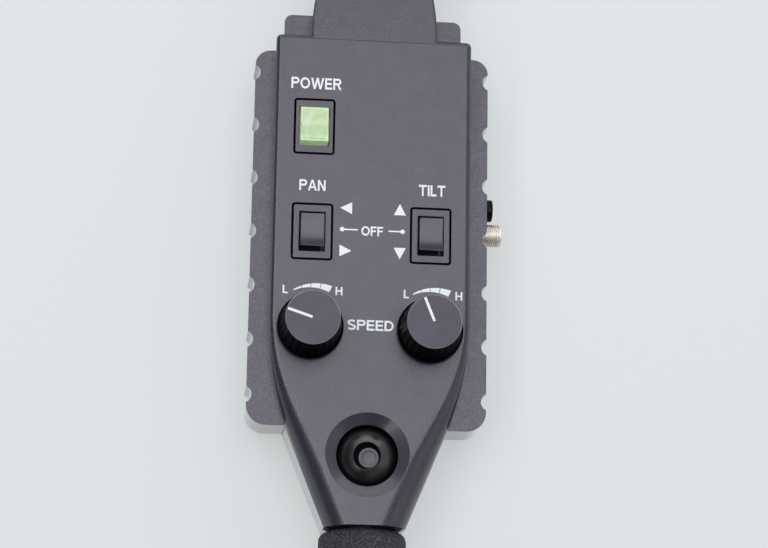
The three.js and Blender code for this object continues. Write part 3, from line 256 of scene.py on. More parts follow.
@dataclass(frozen=True)
class Moulding:
    """A moulded or plated finish: grain, slow mottling of tone and gloss, and rubbed patches."""

    colour: Colour
    roughness: float
    metallic: float = 0.0
    coat: float = 0.0
    specular: float = 0.5
    mottle: float = 0.05
    mottle_size: float = 14 * MM
    gloss_change: float = 0.08
    grain_size: float = 0.35 * MM
    grain_depth: float = 0.02 * MM
    wall_gloss: float = 0.0
    specks: float = 0.0
    speck_size: float = 0.5 * MM

    def build(self, name: str) -> Material:
        """Makes the material, under the name of its finish."""
        graph = Graph(name)
        base = linear(self.colour)
        dark = tuple(c * (1 - self.mottle) for c in base[:3]) + (1.0,)
        light = tuple(min(c * (1 + self.mottle), 1) for c in base[:3]) + (1.0,)
        cloud = graph.spread(graph.noise(self.mottle_size, 4), 0.3, 0.7)
        fine = graph.noise(self.grain_size, 2, seed=3.1)
        colour = graph.mix(cloud * 0.7 + fine * 0.3, dark, light)
        rough = graph.spread(graph.noise(self.mottle_size / 2, 3, seed=7.7), 0.25, 0.75)
        roughness = self.roughness + (rough - 0.5) * self.gloss_change
        coat = self.coat
        if self.wall_gloss:
            coat = graph.spread(1 - graph.steepness(), 0.7, 0.95)
            roughness = roughness - coat * self.wall_gloss
        if self.specks:
            flecks = graph.spread(graph.noise(self.speck_size, 2, seed=5.2), 0.42, 0.68)
            coat = 1 - (1 - coat) * (1 - flecks * self.specks)
        return graph.finish(
            Base_Color=colour,
            Roughness=roughness,
            Metallic=self.metallic,
            Coat_Weight=coat,
            Coat_Roughness=0.08,
            Specular_IOR_Level=self.specular,
            Normal=graph.bump(fine, self.grain_depth),
        )


@dataclass(frozen=True)
class Foam:
    """Closed-cell foam rubber: small pores, larger dimples and pale specks."""

    colour: Colour
    speck: Colour
    pore_size: float = 0.45 * MM
    pore_depth: float = 0.2 * MM
    speck_size: float = 0.5 * MM
    dimple_size: float = 2.6 * MM
    dimple_depth: float = 0.3 * MM

    def build(self, name: str) -> Material:
        """Makes the material, under the name of its finish."""
        graph = Graph(name)
        pores = graph.spread(graph.cells(self.pore_size), 0.05, 0.55)
        dimples = graph.noise(self.dimple_size, 3)
        specks = graph.spread(graph.noise(self.speck_size, 2, seed=5.2), 0.5, 0.64)
        colour = graph.mix(specks * 0.85 + pores * 0.15, linear(self.colour), linear(self.speck))
        under = graph.bump(dimples, self.dimple_depth)
        return graph.finish(
            Base_Color=colour,
            Roughness=0.92 - specks * 0.1,
            Normal=graph.bump(1 - pores, self.pore_depth, under),
        )


@dataclass(frozen=True)
class Lens:
    """Translucent tinted plastic over a lamp, cloudy and a little scuffed, with a painted glow: it
    gives out its own colour as light.
    """

    colour: Colour
    cloud: Colour
    roughness: float = 0.22
    glow: float = 0.06

    def build(self, name: str) -> Material:
        """Makes the material, under the name of its finish."""
        graph = Graph(name)
        cloud = graph.spread(graph.noise(3.2 * MM, 4), 0.35, 0.7)
        scuff = graph.noise(0.9 * MM, 5, seed=2.3)
        colour = graph.mix(cloud, linear(self.colour), linear(self.cloud))
        return graph.finish(
            Base_Color=colour,
            Roughness=self.roughness + scuff * 0.2,
            Coat_Weight=0.4,
            Subsurface_Weight=0.25,
            Subsurface_Scale=0.6 * MM,
            Subsurface_Radius=(1.0, 1.0, 1.0),
            # Painted glow: the plastic gives out its own colour as light.
            Emission_Color=colour,
            Emission_Strength=self.glow,
            Normal=graph.bump(scuff, 0.03 * MM),
        )


@dataclass(frozen=True)
class Ink:
    """Screen-printed ink, a little uneven in its cover."""

    colour: Colour

    def build(self, name: str) -> Material:
        """Makes the material, under the name of its finish."""
        graph = Graph(name)
        cover = graph.spread(graph.noise(0.5 * MM, 3), 0.2, 0.6)
        thin = tuple(value * 0.86 for value in self.colour)
        colour = graph.mix(cover, linear(thin), linear(self.colour))
        return graph.finish(
            Base_Color=colour,
            Roughness=0.6 - cover * 0.1,
            Normal=graph.bump(cover, 0.01 * MM),
        )


@dataclass(frozen=True)
class Paper:
    """The pale table: partly lit, so that it keeps shadows, and partly of its own tone."""

    colour: Colour
    own_share: float = 0.62

    def build(self, name: str) -> Material:
        """Makes the material, under the name of its finish."""
        graph = Graph(name)
        seen = graph.node("ShaderNodeLightPath", output="Is Camera Ray")
        mirrored = graph.node("ShaderNodeLightPath", output="Is Glossy Ray")
        through = graph.node("ShaderNodeLightPath", output="Is Transmission Ray")
        glow = graph.node(
            "ShaderNodeEmission", {}, {"Color": linear(self.colour), "Strength": 1.0}
        )
        share = (seen + mirrored + through) * self.own_share
        lit = Socket(graph, graph.shader.outputs[0])
        mixed = graph.node("ShaderNodeMixShader", {}, {0: share, 1: lit, 2: glow})
        graph.feed(graph.tree.nodes["Material Output"].inputs["Surface"], mixed)
        return graph.finish(Base_Color=linear(self.colour), Roughness=0.7)


FINISHES: dict[str, Moulding | Foam | Lens | Ink | Paper] = {
    "casing": Moulding(
        (47, 45, 57),
        0.3,
        specular=0.67,
        grain_size=0.4 * MM,
        grain_depth=0.035 * MM,
        wall_gloss=0.2,
        specks=0.5,
    ),
    # Upright walls: a glossier coat, and a lighter tone that is painted sheen standing in for the
    # pale reflection they show.
    "casing_wall_gloss_and_painted_sheen": Moulding((60, 58, 66), 0.1, specular=1.0, grain_depth=0.0005 * MM, coat=1.0),
    "rocker": Moulding((47, 45, 57), 0.24, grain_depth=0.004 * MM, mottle=0.03, specular=0.75),
    "knob_skirt": Moulding(
        (3, 3, 4), 0.24, grain_depth=0.001 * MM, specular=0.015, gloss_change=0.05
    ),
    "knob_face": Moulding(
        (46, 45, 60), 0.32, specular=0.55, grain_size=0.25 * MM, mottle=0.3, mottle_size=9 * MM
    ),
    # The knob's rim ring is lighter than its face: a painted highlight along the chamfer.
    "knob_rim_painted_highlight": Moulding((122, 121, 130), 0.16, specular=1.0, coat=1.0),
    "dome": Moulding((6, 5, 5), 0.3, specular=1.0, grain_depth=0.002 * MM),
    "well": Moulding((10, 9, 9), 0.8, specular=0.1, grain_depth=0.004 * MM),
    "stick": Moulding((82, 80, 84), 0.42, grain_depth=0.02 * MM),
    "black_plastic": Moulding((24, 23, 25), 0.38),
    "foam": Foam((27, 26, 30), (92, 89, 95)),
    # The lens pieces carry a painted glow, strongest on the lens body itself.
    "lens": Lens((148, 180, 126), (170, 192, 158), glow=0.55),
    "lens_pad": Lens((168, 196, 134), (198, 216, 188)),
    "lens_nub": Lens((198, 206, 176), (210, 216, 194)),
    "lamp": Lens((233, 242, 221), (240, 246, 232)),
    "ink": Ink((236, 243, 243)),
    "nickel": Moulding((232, 226, 215), 0.5, metallic=1.0, grain_depth=0.004 * MM),
    "jack": Moulding((6, 6, 7), 0.3, specular=0.12, grain_depth=0.004 * MM),
    "steel": Moulding((168, 170, 174), 0.32, metallic=1.0, grain_depth=0.004 * MM),
    "aluminium": Moulding((176, 178, 182), 0.42, metallic=1.0, grain_depth=0.012 * MM),
    "anodised": Moulding((16, 16, 18), 0.45, specular=0.3, grain_depth=0.004 * MM),
    "board": Moulding((31, 90, 54), 0.4, grain_depth=0.006 * MM),
    "table": Paper((222, 227, 227)),
}


class Palette:
    """Builds each finish the first time that a piece asks for it."""

    def __init__(self) -> None:
        """Starts with no material made."""
        self._made: dict[str, Material] = {}

    def get(self, name: str) -> Material:
        """Gives the material of a finish by its name."""
        if name not in self._made:
            self._made[name] = FINISHES[name].build(name)
        return self._made[name]


# Hand tools


def activate(piece: Object) -> None:
    """Makes one piece the only selected and the active one."""
    bpy.ops.object.select_all(action="DESELECT")
    piece.select_set(True)
    bpy.context.view_layer.objects.active = piece


@contextmanager
def editing(piece: Object, kind: Element = Element.VERT) -> Iterator[None]:
    """Opens a piece in edit mode and closes it again.

    Args:
        piece: The piece to edit.
        kind: The kind of element that is selected meanwhile.
    """
    activate(piece)
    bpy.ops.object.mode_set(mode="EDIT")
    bpy.ops.mesh.select_mode(type=kind.value)
    try:
        yield
    finally:
        bpy.ops.object.mode_set(mode="OBJECT")


def pick(piece: Object, kind: Element, test: Callable[[Vector, Vector], bool]) -> None:
    """Selects what passes a test while a piece is being edited.

    Args:
        piece: The piece, in edit mode.
        kind: Which kind of element to select.
        test: Takes an element's middle and its normal, or an edge's direction.
    """
    mesh = bmesh.from_edit_mesh(piece.data)
    mesh.select_mode = {kind.value}
    for group in (mesh.verts, mesh.edges, mesh.faces):
        for element in group:
            element.select_set(False)
    if kind is Element.VERT:
        found = [v for v in mesh.verts if test(v.co, v.normal)]
    elif kind is Element.EDGE:
        found = [
            e
            for e in mesh.edges
            if test((e.verts[0].co + e.verts[1].co) / 2, e.verts[1].co - e.verts[0].co)
        ]
    else:
        found = [f for f in mesh.faces if test(f.calc_center_median(), f.normal)]
    for element in found:
        element.select_set(True)
    mesh.select_flush_mode()
    bmesh.update_edit_mesh(piece.data)


def apply_place(piece: Object) -> None:
    """Moves a piece's place into its mesh, so that its object sits at the origin."""
    activate(piece)
    bpy.ops.object.transform_apply(location=True, rotation=True, scale=True)


def apply_all(piece: Object) -> None:
    """Applies every modifier of a piece."""
    activate(piece)
    for modifier in list(piece.modifiers):
        bpy.ops.object.modifier_apply(modifier=modifier.name)


def smooth(piece: Object, weighted: bool = True) -> None:
    """Shades a piece smooth between its sharp edges, with flat faces kept flat."""
    activate(piece)
    bpy.ops.object.shade_smooth_by_angle(angle=SMOOTH_ANGLE)
    if weighted:
        modifier = piece.modifiers.new("normals", "WEIGHTED_NORMAL")
        modifier.keep_sharp = True
        modifier.weight = 100
        apply_all(piece)


def soften(piece: Object, width: float, segments: int = 3) -> None:
    """Rounds a piece's sharp edges.

    Args:
        piece: The piece.
        width: The width of the rounding.
        segments: How many facets it has.
    """
    modifier = piece.modifiers.new("edges", "BEVEL")
    modifier.limit_method = "ANGLE"
    modifier.angle_limit = BEVEL_ANGLE
    modifier.width = width
    modifier.segments = segments
    modifier.use_clamp_overlap = False
    modifier.miter_outer = "MITER_ARC"
    apply_all(piece)


def combine(piece: Object, tool: Object, operation: str) -> None:
    """Joins a tool to a piece or cuts it away, and removes the tool."""
    modifier = piece.modifiers.new("combine", "BOOLEAN")
    modifier.operation = operation
    modifier.object = tool
    modifier.solver = "EXACT"
    apply_all(piece)
    bpy.data.objects.remove(tool, do_unlink=True)


def link(name: str, data: Any) -> Object:
    """Adds an object for its data to the scene."""
    thing = bpy.data.objects.new(name, data)
    bpy.context.scene.collection.objects.link(thing)
    return thing


def box(name: str, low: Sequence[float], high: Sequence[float]) -> Object:
    """Adds a box between two corners."""
    bpy.ops.object.select_all(action="DESELECT")
    middle = (Vector(low) + Vector(high)) / 2
    bpy.ops.mesh.primitive_cube_add(size=1, location=middle)
    piece = bpy.context.active_object
    piece.name = name
    piece.scale = Vector(high) - Vector(low)
    apply_place(piece)
    return piece


def ring(name: str, radius: float, height: float, sides: int) -> Object:
    """Adds a filled circle at a height, about the Z axis."""
    bpy.ops.object.select_all(action="DESELECT")
    bpy.ops.mesh.primitive_circle_add(
        vertices=sides, radius=radius, fill_type="NGON", location=(0, 0, height)
    )
    piece = bpy.context.active_object
    piece.name = name
    apply_place(piece)
    return piece


def turn(name: str, profile: Sequence[Flat], sides: int = 96, bored: bool = False) -> Object:
    """Turns a solid about the Z axis by extruding a circle from ring to ring.

    Args:
        name: The piece's name.
        profile: The radius and height of each ring, in order round the outline.
        sides: How many facets go round.
        bored: Whether the last ring joins the first one, which leaves a bore.

    Returns:
        The closed solid.
    """
    radius, height = profile[0]
    piece = ring(name, radius, height, sides)
    with editing(piece, Element.FACE):
        bpy.ops.mesh.select_all(action="SELECT")
        for next_radius, next_height in profile[1:]:
            rise = next_height - height
            bpy.ops.mesh.extrude_region_move(TRANSFORM_OT_translate={"value": (0, 0, rise)})
            share = next_radius / radius
            bpy.ops.transform.resize(
                value=(share, share, 1), center_override=(0, 0, next_height)
            )
            radius, height = next_radius, next_height
        if bored:
            pick(piece, Element.FACE, lambda middle, normal: middle.xy.length < TINY)
            bpy.ops.mesh.delete(type="ONLY_FACE")
            bpy.ops.mesh.select_mode(type="EDGE")
            bpy.ops.mesh.select_all(action="DESELECT")
            bpy.ops.mesh.select_non_manifold()
            bpy.ops.mesh.bridge_edge_loops()
        bpy.ops.mesh.select_all(action="SELECT")
        bpy.ops.mesh.normals_make_consistent(inside=False)
    return piece


def wave(
    piece: Object, waves: int, depth: float, steps: int, test: Callable[[Vector], bool]
) -> None:
    """Waves a turned piece's side in and out as it goes round.

    Args:
        piece: The piece, still about the Z axis.
        waves: How many hollows go round.
        depth: How deep each is.
        steps: How many facets each has.
        test: Takes a vertex's place and tells whether it moves.
    """

    def phase(at: Vector) -> int:
        """Gives how many steps a vertex is from the nearest crest."""
        step = round(math.atan2(at.y, at.x) / math.tau * waves * steps) % steps
        return min(step, steps - step)

    with editing(piece):
        for step in range(1, steps // 2 + 1):
            sink = depth * (1 - math.cos(step / steps * math.tau)) / 2
            pick(piece, Element.VERT, lambda at, normal: test(at) and phase(at) == step)
            mesh = bmesh.from_edit_mesh(piece.data)
            reach = max((v.co.xy.length for v in mesh.verts if v.select), default=depth)
            share = 1 - sink / reach
            bpy.ops.transform.resize(value=(share, share, 1), center_override=(0, 0, 0))


def place(piece: Object, centre: Sequence[float], axis: Axis = Axis.UP) -> Object:
    """Puts a piece that was made about the Z axis where it belongs."""
    up = Vector(Axis.UP.value)
    piece.rotation_mode = "QUATERNION"
    piece.rotation_quaternion = up.rotation_difference(Vector(axis.value))
    piece.location = centre
    apply_place(piece)
    return piece


def span(node: str) -> tuple[Vector, Vector, Vector]:
    """Gives the lowest corner, the highest corner and the middle of a CAD node's box."""
    low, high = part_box(node)
    return low, high, (low + high) / 2


def thread(tooth: Sequence[Flat], start: float, pitch: float, turns: int) -> list[Flat]:
    """Repeats one tooth along a thread.

    Args:
        tooth: The radius of each of its rings, and its height as a share of the pitch.
        start: The height of the first tooth.
        pitch: The height of each turn.
        turns: How many turns there are.

    Returns:
        Rings of radius and height.
    """
    return [
        (radius, start + k * pitch + pitch * share) for k in range(turns) for radius, share in tooth
    ]


def rounded(radius: float, height: float, edge: float, inward: bool = True) -> list[Flat]:
    """Gives the rings of a rounded edge from a side up to a top.

    Args:
        radius: The side's radius.
        height: The top's height.
        edge: The rounding's radius.
        inward: Whether the top lies inside the side, as on a boss, or outside, as on a hole.

    Returns:
        Rings of radius and height.
    """
    steps = 5
    way = 1 if inward else -1
    angles = [k / steps * math.pi / 2 for k in range(steps + 1)]
    return [
        (radius - way * edge * (1 - math.cos(a)), height - edge * (1 - math.sin(a)))
        for a in angles
    ]


@dataclass(frozen=True)
class Station:
    """One cross-section of a moulded body: a rectangle with rounded front and back edges."""

    y: float
    half: float
    low: float
    high: float
    front: float
    back: float
    widest: ClassVar[float] = 12 * MM


def set_rounding(piece: Object, radius: float, test: Callable[[Vector, Vector], bool]) -> None:
    """Sets how far the edges that pass a test are rounded, while a piece is being edited."""
    pick(piece, Element.EDGE, test)
    bpy.ops.transform.edge_bevelweight(value=radius / Station.widest)


def loft(name: str, stations: Sequence[Station], end: float, segments: int) -> Object:
    """Draws a body through its cross-sections and rounds its edges by what each one says.

    Args:
        name: The piece's name.
        stations: The cross-sections, each nearer to the grip than the one before.
        end: The rounding of the edges round the first cross-section.
        segments: How many facets each rounding has.

    Returns:
        The closed body.
    """
    first, second = stations[:2]
    piece = box(name, (-first.half, second.y, first.low), (first.half, first.y, first.high))
    with editing(piece, Element.FACE):
        pick(piece, Element.FACE, lambda middle, normal: normal.y < -0.5)
        for last, here in zip(stations, stations[1:]):
            if here is not second:
                bpy.ops.mesh.extrude_region_move(
                    TRANSFORM_OT_translate={"value": (0, here.y - last.y, 0)}
                )
            share = (here.high - here.low) / (last.high - last.low)
            bpy.ops.transform.resize(
                value=(here.half / last.half, 1, share), center_override=(0, here.y, last.low)
            )
            bpy.ops.transform.translate(value=(0, 0, here.low - last.low))
        set_rounding(
            piece,
            end,
            lambda middle, way: abs(middle.y - first.y) < TINY and abs(way.y) < TINY,
        )
        for last, here in zip(stations, stations[1:]):
            middle_y = (last.y + here.y) / 2
            middle_z = (last.high + last.low) / 2
            for above, radius in (
                (True, (last.front + here.front) / 2),
                (False, (last.back + here.back) / 2),
            ):
                set_rounding(
                    piece,
                    radius,
                    lambda middle, way: abs(middle.y - middle_y) < TINY
                    and abs(abs(way.y) - abs(last.y - here.y)) < TINY
                    and (middle.z > middle_z) == above,
                )
    modifier = piece.modifiers.new("rounding", "BEVEL")
    modifier.limit_method = "WEIGHT"
    modifier.width = Station.widest
    modifier.segments = segments
    modifier.use_clamp_overlap = False
    apply_all(piece)
    return piece


def clean(piece: Object) -> None:
    """Merges a piece's doubled vertices and its flat faces."""
    with editing(piece):
        bpy.ops.mesh.select_all(action="SELECT")
        bpy.ops.mesh.remove_doubles(threshold=WELD)
        bpy.ops.mesh.dissolve_limited(angle_limit=FLAT_ANGLE)


def merged_copy(node: Object, name: str) -> Object:
    """Copies a CAD node's mesh into a new piece, with its vertices and flat faces merged."""
    piece = link(name, node.data.copy())
    piece.data.materials.clear()
    clean(piece)
    return piece


# Sub-assemblies


class Assembly:
    """What every sub-assembly shares: the frame, the finishes and the way that pieces join."""

    def __init__(self, frame: dict[str, Any], palette: Palette) -> None:
        """Keeps the frame and the palette."""
        self.nodes: dict[str, Object] = frame["nodes"]
        self.joints: dict[str, Any] = {joint["name"]: joint for joint in frame["joints"]}
        self.palette = palette

    def paint(self, piece: Object, finish: str) -> None:
        """Gives a piece one finish all over."""
        piece.data.materials.clear()
        piece.data.materials.append(self.palette.get(finish))

    def paint_node(self, node: str, finish: str) -> None:
        """Gives a CAD node that stays a better material."""
        for slot in self.nodes[node].material_slots:
            slot.material = self.palette.get(finish)
        log.info("%s keeps its shape, finished as %s", node, finish)

    def enter(self, piece: Object, body: str, slot: str, replaced: Sequence[str] = ()) -> None:
        """Adds a piece to the object.

        Args:
            piece: The finished piece.
            body: The CAD body that it rides on.
            slot: Not used.
            replaced: The CAD nodes that it stands for.
        """
        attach(piece, body)
        if replaced:
            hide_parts(*replaced)
        log.info("%s rides on %s, %d faces", piece.name, body, len(piece.data.polygons))

    def add(
        self, piece: Object, body: str, slot: str, replaced: Sequence[str] = (), finish: str = ""
    ) -> None:
        """Paints a piece all over and adds it to the object.

        Args:
            piece: The shaped piece.
            body: The CAD body that it rides on.
            slot: The record's material slot.
            replaced: The CAD nodes that it stands for.
            finish: The finish, where it isn't named as the slot is.
        """
        self.paint(piece, finish or slot)
        self.enter(piece, body, slot, replaced)

    def refine(self, node: str, body: str, slot: str, edge: float) -> None:
        """Stands a softened copy in for a CAD node.

        Args:
            node: The CAD node.
            body: The body that it rides on.
            slot: The record's material slot.
            edge: The width of the rounding on its sharp edges.
        """
        piece = merged_copy(self.nodes[node], f"{node}_refined")
        if edge:
            soften(piece, edge)
        smooth(piece)
        self.add(piece, body, slot, [node])


@dataclass(frozen=True)
class Glyph:
    """One plain letter, a unit tall: how wide it is, its outline and the hole in it."""

    width: float
    outer: Sequence[Flat]
    hole: Sequence[Flat] = ()


def points(*values: float) -> list[Flat]:
    """Pairs numbers up into points, each a place across and a height."""
    return list(zip(values[::2], values[1::2]))


def bow(
    x: float, y: float, across: float, tall: float, start: float = -90, end: float = 90
) -> list[Flat]:
    """Gives points along an ellipse between two angles, in degrees.

    Args:
        x: The centre's place across.
        y: The centre's height.
        across: The half width.
        tall: The half height.
        start: The first angle.
        end: The last angle.

    Returns:
        The points in order.
    """
    steps = max(int(abs(end - start) / BOW_STEP), 2)
    angles = [math.radians(start + (end - start) * k / steps) for k in range(steps + 1)]
    return [(x + across * math.cos(a), y + tall * math.sin(a)) for a in angles]


def ribbon(path: Sequence[Flat], width: float) -> list[Flat]:
    """Gives the outline of a stroke along a path."""
    sides: tuple[list[Flat], list[Flat]] = ([], [])
    for k, here in enumerate(path):
        before, after = path[max(k - 1, 0)], path[min(k + 1, len(path) - 1)]
        way = Vector((after[0] - before[0], after[1] - before[1])).normalized()
        for side, sign in zip(sides, (1, -1)):
            side.append(
                (here[0] - way.y * sign * width / 2, here[1] + way.x * sign * width / 2)
            )
    return sides[0] + sides[1][::-1]


BOW_STEP = 9
STROKE = 0.18
LETTER_GAP = 0.1
MIDDLE = 0.42
ABOVE = MIDDLE + STROKE
UNDER = 1 - STROKE
BOWL_HOLE = [(STROKE, ABOVE), *bow(0.45, 0.71, 0.16, 0.12), (STROKE, UNDER)]
GLYPHS = {
    "A": Glyph(
        0.9,
        points(0, 0, 0.18, 0, 0.259, 0.23, 0.641, 0.23, 0.72, 0, 0.9, 0, 0.54, 1, 0.36, 1),
        points(0.31, 0.38, 0.59, 0.38, 0.45, 0.79),
    ),
    "D": Glyph(
        0.82,
        [(0, 0), *bow(0.38, 0.5, 0.44, 0.5), (0, 1)],
        [(STROKE, STROKE), *bow(0.36, 0.5, 0.29, 0.5 - STROKE), (STROKE, UNDER)],
    ),
    "E": Glyph(
        0.7,
        points(0, 0, 0.7, 0, 0.7, STROKE, STROKE, STROKE, STROKE, MIDDLE, 0.65, MIDDLE)
        + points(0.65, ABOVE, STROKE, ABOVE, STROKE, UNDER, 0.68, UNDER, 0.68, 1, 0, 1),
    ),
    "F": Glyph(
        0.64,
        points(0, 0, STROKE, 0, STROKE, MIDDLE, 0.58, MIDDLE, 0.58, ABOVE, STROKE, ABOVE)
        + points(STROKE, UNDER, 0.64, UNDER, 0.64, 1, 0, 1),
    ),
    "H": Glyph(
        0.76,
        points(0, 0, STROKE, 0, STROKE, MIDDLE, 0.76 - STROKE, MIDDLE, 0.76 - STROKE, 0, 0.76, 0)
        + points(0.76, 1, 0.76 - STROKE, 1, 0.76 - STROKE, ABOVE, STROKE, ABOVE, STROKE, 1, 0, 1),
    ),
    "I": Glyph(STROKE, points(0, 0, STROKE, 0, STROKE, 1, 0, 1)),
    "L": Glyph(0.58, points(0, 0, 0.58, 0, 0.58, STROKE, STROKE, STROKE, STROKE, 1, 0, 1)),
    "N": Glyph(
        0.78,
        points(0, 0, STROKE, 0, STROKE, 0.7, 0.6, 0, 0.78, 0, 0.78, 1, 0.61, 1)
        + points(0.61, 0.3, 0.18, 1, 0, 1),
    ),
    "O": Glyph(
        0.94,
        bow(0.47, 0.5, 0.47, 0.5, 0, 351),
        bow(0.47, 0.5, 0.47 - STROKE, 0.5 - STROKE, 0, 351),
    ),
    "P": Glyph(
        0.78,
        [*points(0, 0, STROKE, 0, STROKE, MIDDLE), *bow(0.47, 0.71, 0.31, 0.29), (0, 1)],
        BOWL_HOLE,
    ),
    "R": Glyph(
        0.82,
        [
            *points(0, 0, STROKE, 0, STROKE, MIDDLE, 0.38, MIDDLE, 0.62, 0, 0.82, 0),
            *bow(0.47, 0.71, 0.31, 0.29, -72),
            (0, 1),
        ],
        BOWL_HOLE,
    ),
    "S": Glyph(
        0.76,
        ribbon(
            bow(0.38, 0.725, 0.29, 0.19, 20, 240) + bow(0.38, 0.275, 0.295, 0.19, 60, -160), STROKE
        ),
    ),
    "T": Glyph(
        0.78,
        points(0.305, 0, 0.475, 0, 0.475, UNDER, 0.78, UNDER, 0.78, 1, 0, 1, 0, UNDER)
        + points(0.305, UNDER),
    ),
    "W": Glyph(
        1.27,
        points(0, 1, 0.26, 0, 0.45, 0, 0.635, 0.66, 0.82, 0, 1.01, 0, 1.27, 1, 1.09, 1)
        + points(0.912, 0.27, 0.735, 1, 0.535, 1, 0.358, 0.27, 0.18, 1),
    ),
}


@dataclass(frozen=True)
class Word:
    """One printed word and the box that its letters fill on the panel, in millimetres."""

    text: str
    left: float
    right: float
    low: float
    high: float


WORDS = (
    Word("POWER", -30.3, -11.9, 53.4, 57.7),
    Word("PAN", -26.5, -17.0, 14.7, 18.8),
    Word("TILT", 17.0, 26.7, 14.4, 18.6),
    Word("OFF", -3.7, 4.2, -1.4, 2.1),
    Word("SPEED", -8.1, 8.5, -36.5, -32.7),
    Word("L", -31.6, -29.7, -23.95, -20.85),
    Word("H", -12.6, -10.1, -23.95, -20.85),
    Word("L", 12.0, 13.9, -24.1, -21.0),
    Word("H", 30.7, 33.2, -24.2, -21.1),
)


class Prints(Assembly):
    """The white print on the panel: words, arrows, the off marks and the speed wedges."""

    lift = 0.02 * MM
    thickness = 0.03 * MM
    arrow_reach = 4.3 * MM
    arrow_spread = 4.4 * MM
    dot_radius = 0.85 * MM
    line_width = 0.5 * MM
    wedge_inner = 14.7 * MM
    wedge_narrow = 0.35 * MM
    wedge_wide = 2.5 * MM
    wedge_start = 25.0
    wedge_end = -27.0
    wedge_marks = (25.0, 12.5, 0.0, -13.0, -27.0)
    wedge_gap = 0.9
    arrows = ((-9.35, 8.7, 180), (-9.35, -7.3, 0), (10.2, 8.9, 90), (10.3, -7.6, -90))
    dots = ((-10.64, 0.7), (11.26, 0.6))
    lines = ((-9.82, -5.0, 0.65), (6.1, 10.44, 0.6))

    def flat(self, *outlines: Sequence[Flat]) -> Object:
        """Makes a flat printed shape from its outline on the panel and those of its holes."""
        curve = bpy.data.curves.new("mark", "CURVE")
        curve.dimensions = "2D"
        curve.fill_mode = "BOTH"
        curve.extrude = self.thickness / 2
        for outline in outlines:
            spline = curve.splines.new("POLY")
            spline.points.add(len(outline) - 1)
            for point, (x, y) in zip(spline.points, outline):
                point.co = (x, y, 0, 1)
            spline.use_cyclic_u = True
        activate(link("mark", curve))
        bpy.ops.object.convert(target="MESH")
        return bpy.context.active_object

    def letters(self, word: Word) -> list[Object]:
        """Draws one word's letters, fitted to its box."""
        glyphs = [GLYPHS[letter] for letter in word.text]
        total = sum(glyph.width for glyph in glyphs) + LETTER_GAP * (len(glyphs) - 1)
        left, low = word.left * MM, word.low * MM
        across, tall = (word.right * MM - left) / total, word.high * MM - low
        marks: list[Object] = []
        start = 0.0
        for glyph in glyphs:
            outlines = [
                [(left + (start + x) * across, low + y * tall) for x, y in outline]
                for outline in (glyph.outer, glyph.hole)
                if outline
            ]
            marks.append(self.flat(*outlines))
            start += glyph.width + LETTER_GAP
        return marks

    def arrow(self, x: float, y: float, heading: float) -> Object:
        """Makes one triangle at a place in millimetres, turned by its heading in degrees."""
        half = self.arrow_reach / 2
        corners = [(half, 0), (-half, self.arrow_spread / 2), (-half, -self.arrow_spread / 2)]
        turned = Matrix.Rotation(math.radians(heading), 2)
        return self.flat([tuple(Vector((x, y)) * MM + turned @ Vector(c)) for c in corners])

    def disc(self, x: float, y: float) -> Object:
        """Makes one round dot at a place in millimetres."""
        angles = [k / 32 * math.tau for k in range(32)]
        radius = self.dot_radius
        return self.flat(
            [(x * MM + radius * math.cos(a), y * MM + radius * math.sin(a)) for a in angles]
        )

    def line(self, start: float, end: float, y: float) -> Object:
        """Makes one level line between two places in millimetres."""
        left, right, low = start * MM, end * MM, y * MM - self.line_width / 2
        high = y * MM + self.line_width / 2
        return self.flat(points(left, low, right, low, right, high, left, high))

    def wedge(self, centre: Vector, start: float, end: float) -> Object:
        """Makes one part of a speed wedge between two bearings, in degrees from the top."""
        steps = 6
        inner: list[Flat] = []
        outer: list[Flat] = []
        for k in range(steps + 1):
            bearing = start + (end - start) * k / steps
            share = (self.wedge_start - bearing) / (self.wedge_start - self.wedge_end)
            width = self.wedge_narrow + (self.wedge_wide - self.wedge_narrow) * share
            angle = math.radians(90 + bearing)
            way = (math.cos(angle), math.sin(angle))
            for rim, radius in ((inner, self.wedge_inner), (outer, self.wedge_inner + width)):
                rim.append((centre.x + radius * way[0], centre.y + radius * way[1]))
        return self.flat(inner + outer[::-1])

    def build(self) -> None:
        """Prints everything and joins it into one piece on the panel."""
        marks = [mark for word in WORDS for mark in self.letters(word)]
        marks += [self.arrow(*arrow) for arrow in self.arrows]
        marks += [self.disc(*dot) for dot in self.dots]
        marks += [self.line(*line) for line in self.lines]
        for side in ("pan", "tilt"):
            centre = span(f"{side}_speed_knob")[2]
            for start, end in zip(self.wedge_marks, self.wedge_marks[1:]):
                gap = self.wedge_gap / 2
                marks.append(self.wedge(centre, start - gap, end + gap))
        bpy.ops.object.select_all(action="DESELECT")
        for mark in marks:
            mark.select_set(True)
        bpy.context.view_layer.objects.active = marks[0]
        bpy.ops.object.join()
        piece = bpy.context.active_object
        piece.name = "panel_print"
        with editing(piece):
            bpy.ops.mesh.select_all(action="SELECT")
            bpy.ops.mesh.remove_doubles(threshold=WELD)
        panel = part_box("front_shell")[1].z
        piece.location.z = panel + self.lift
        apply_place(piece)
        self.add(piece, "controller", "casing", finish="ink")


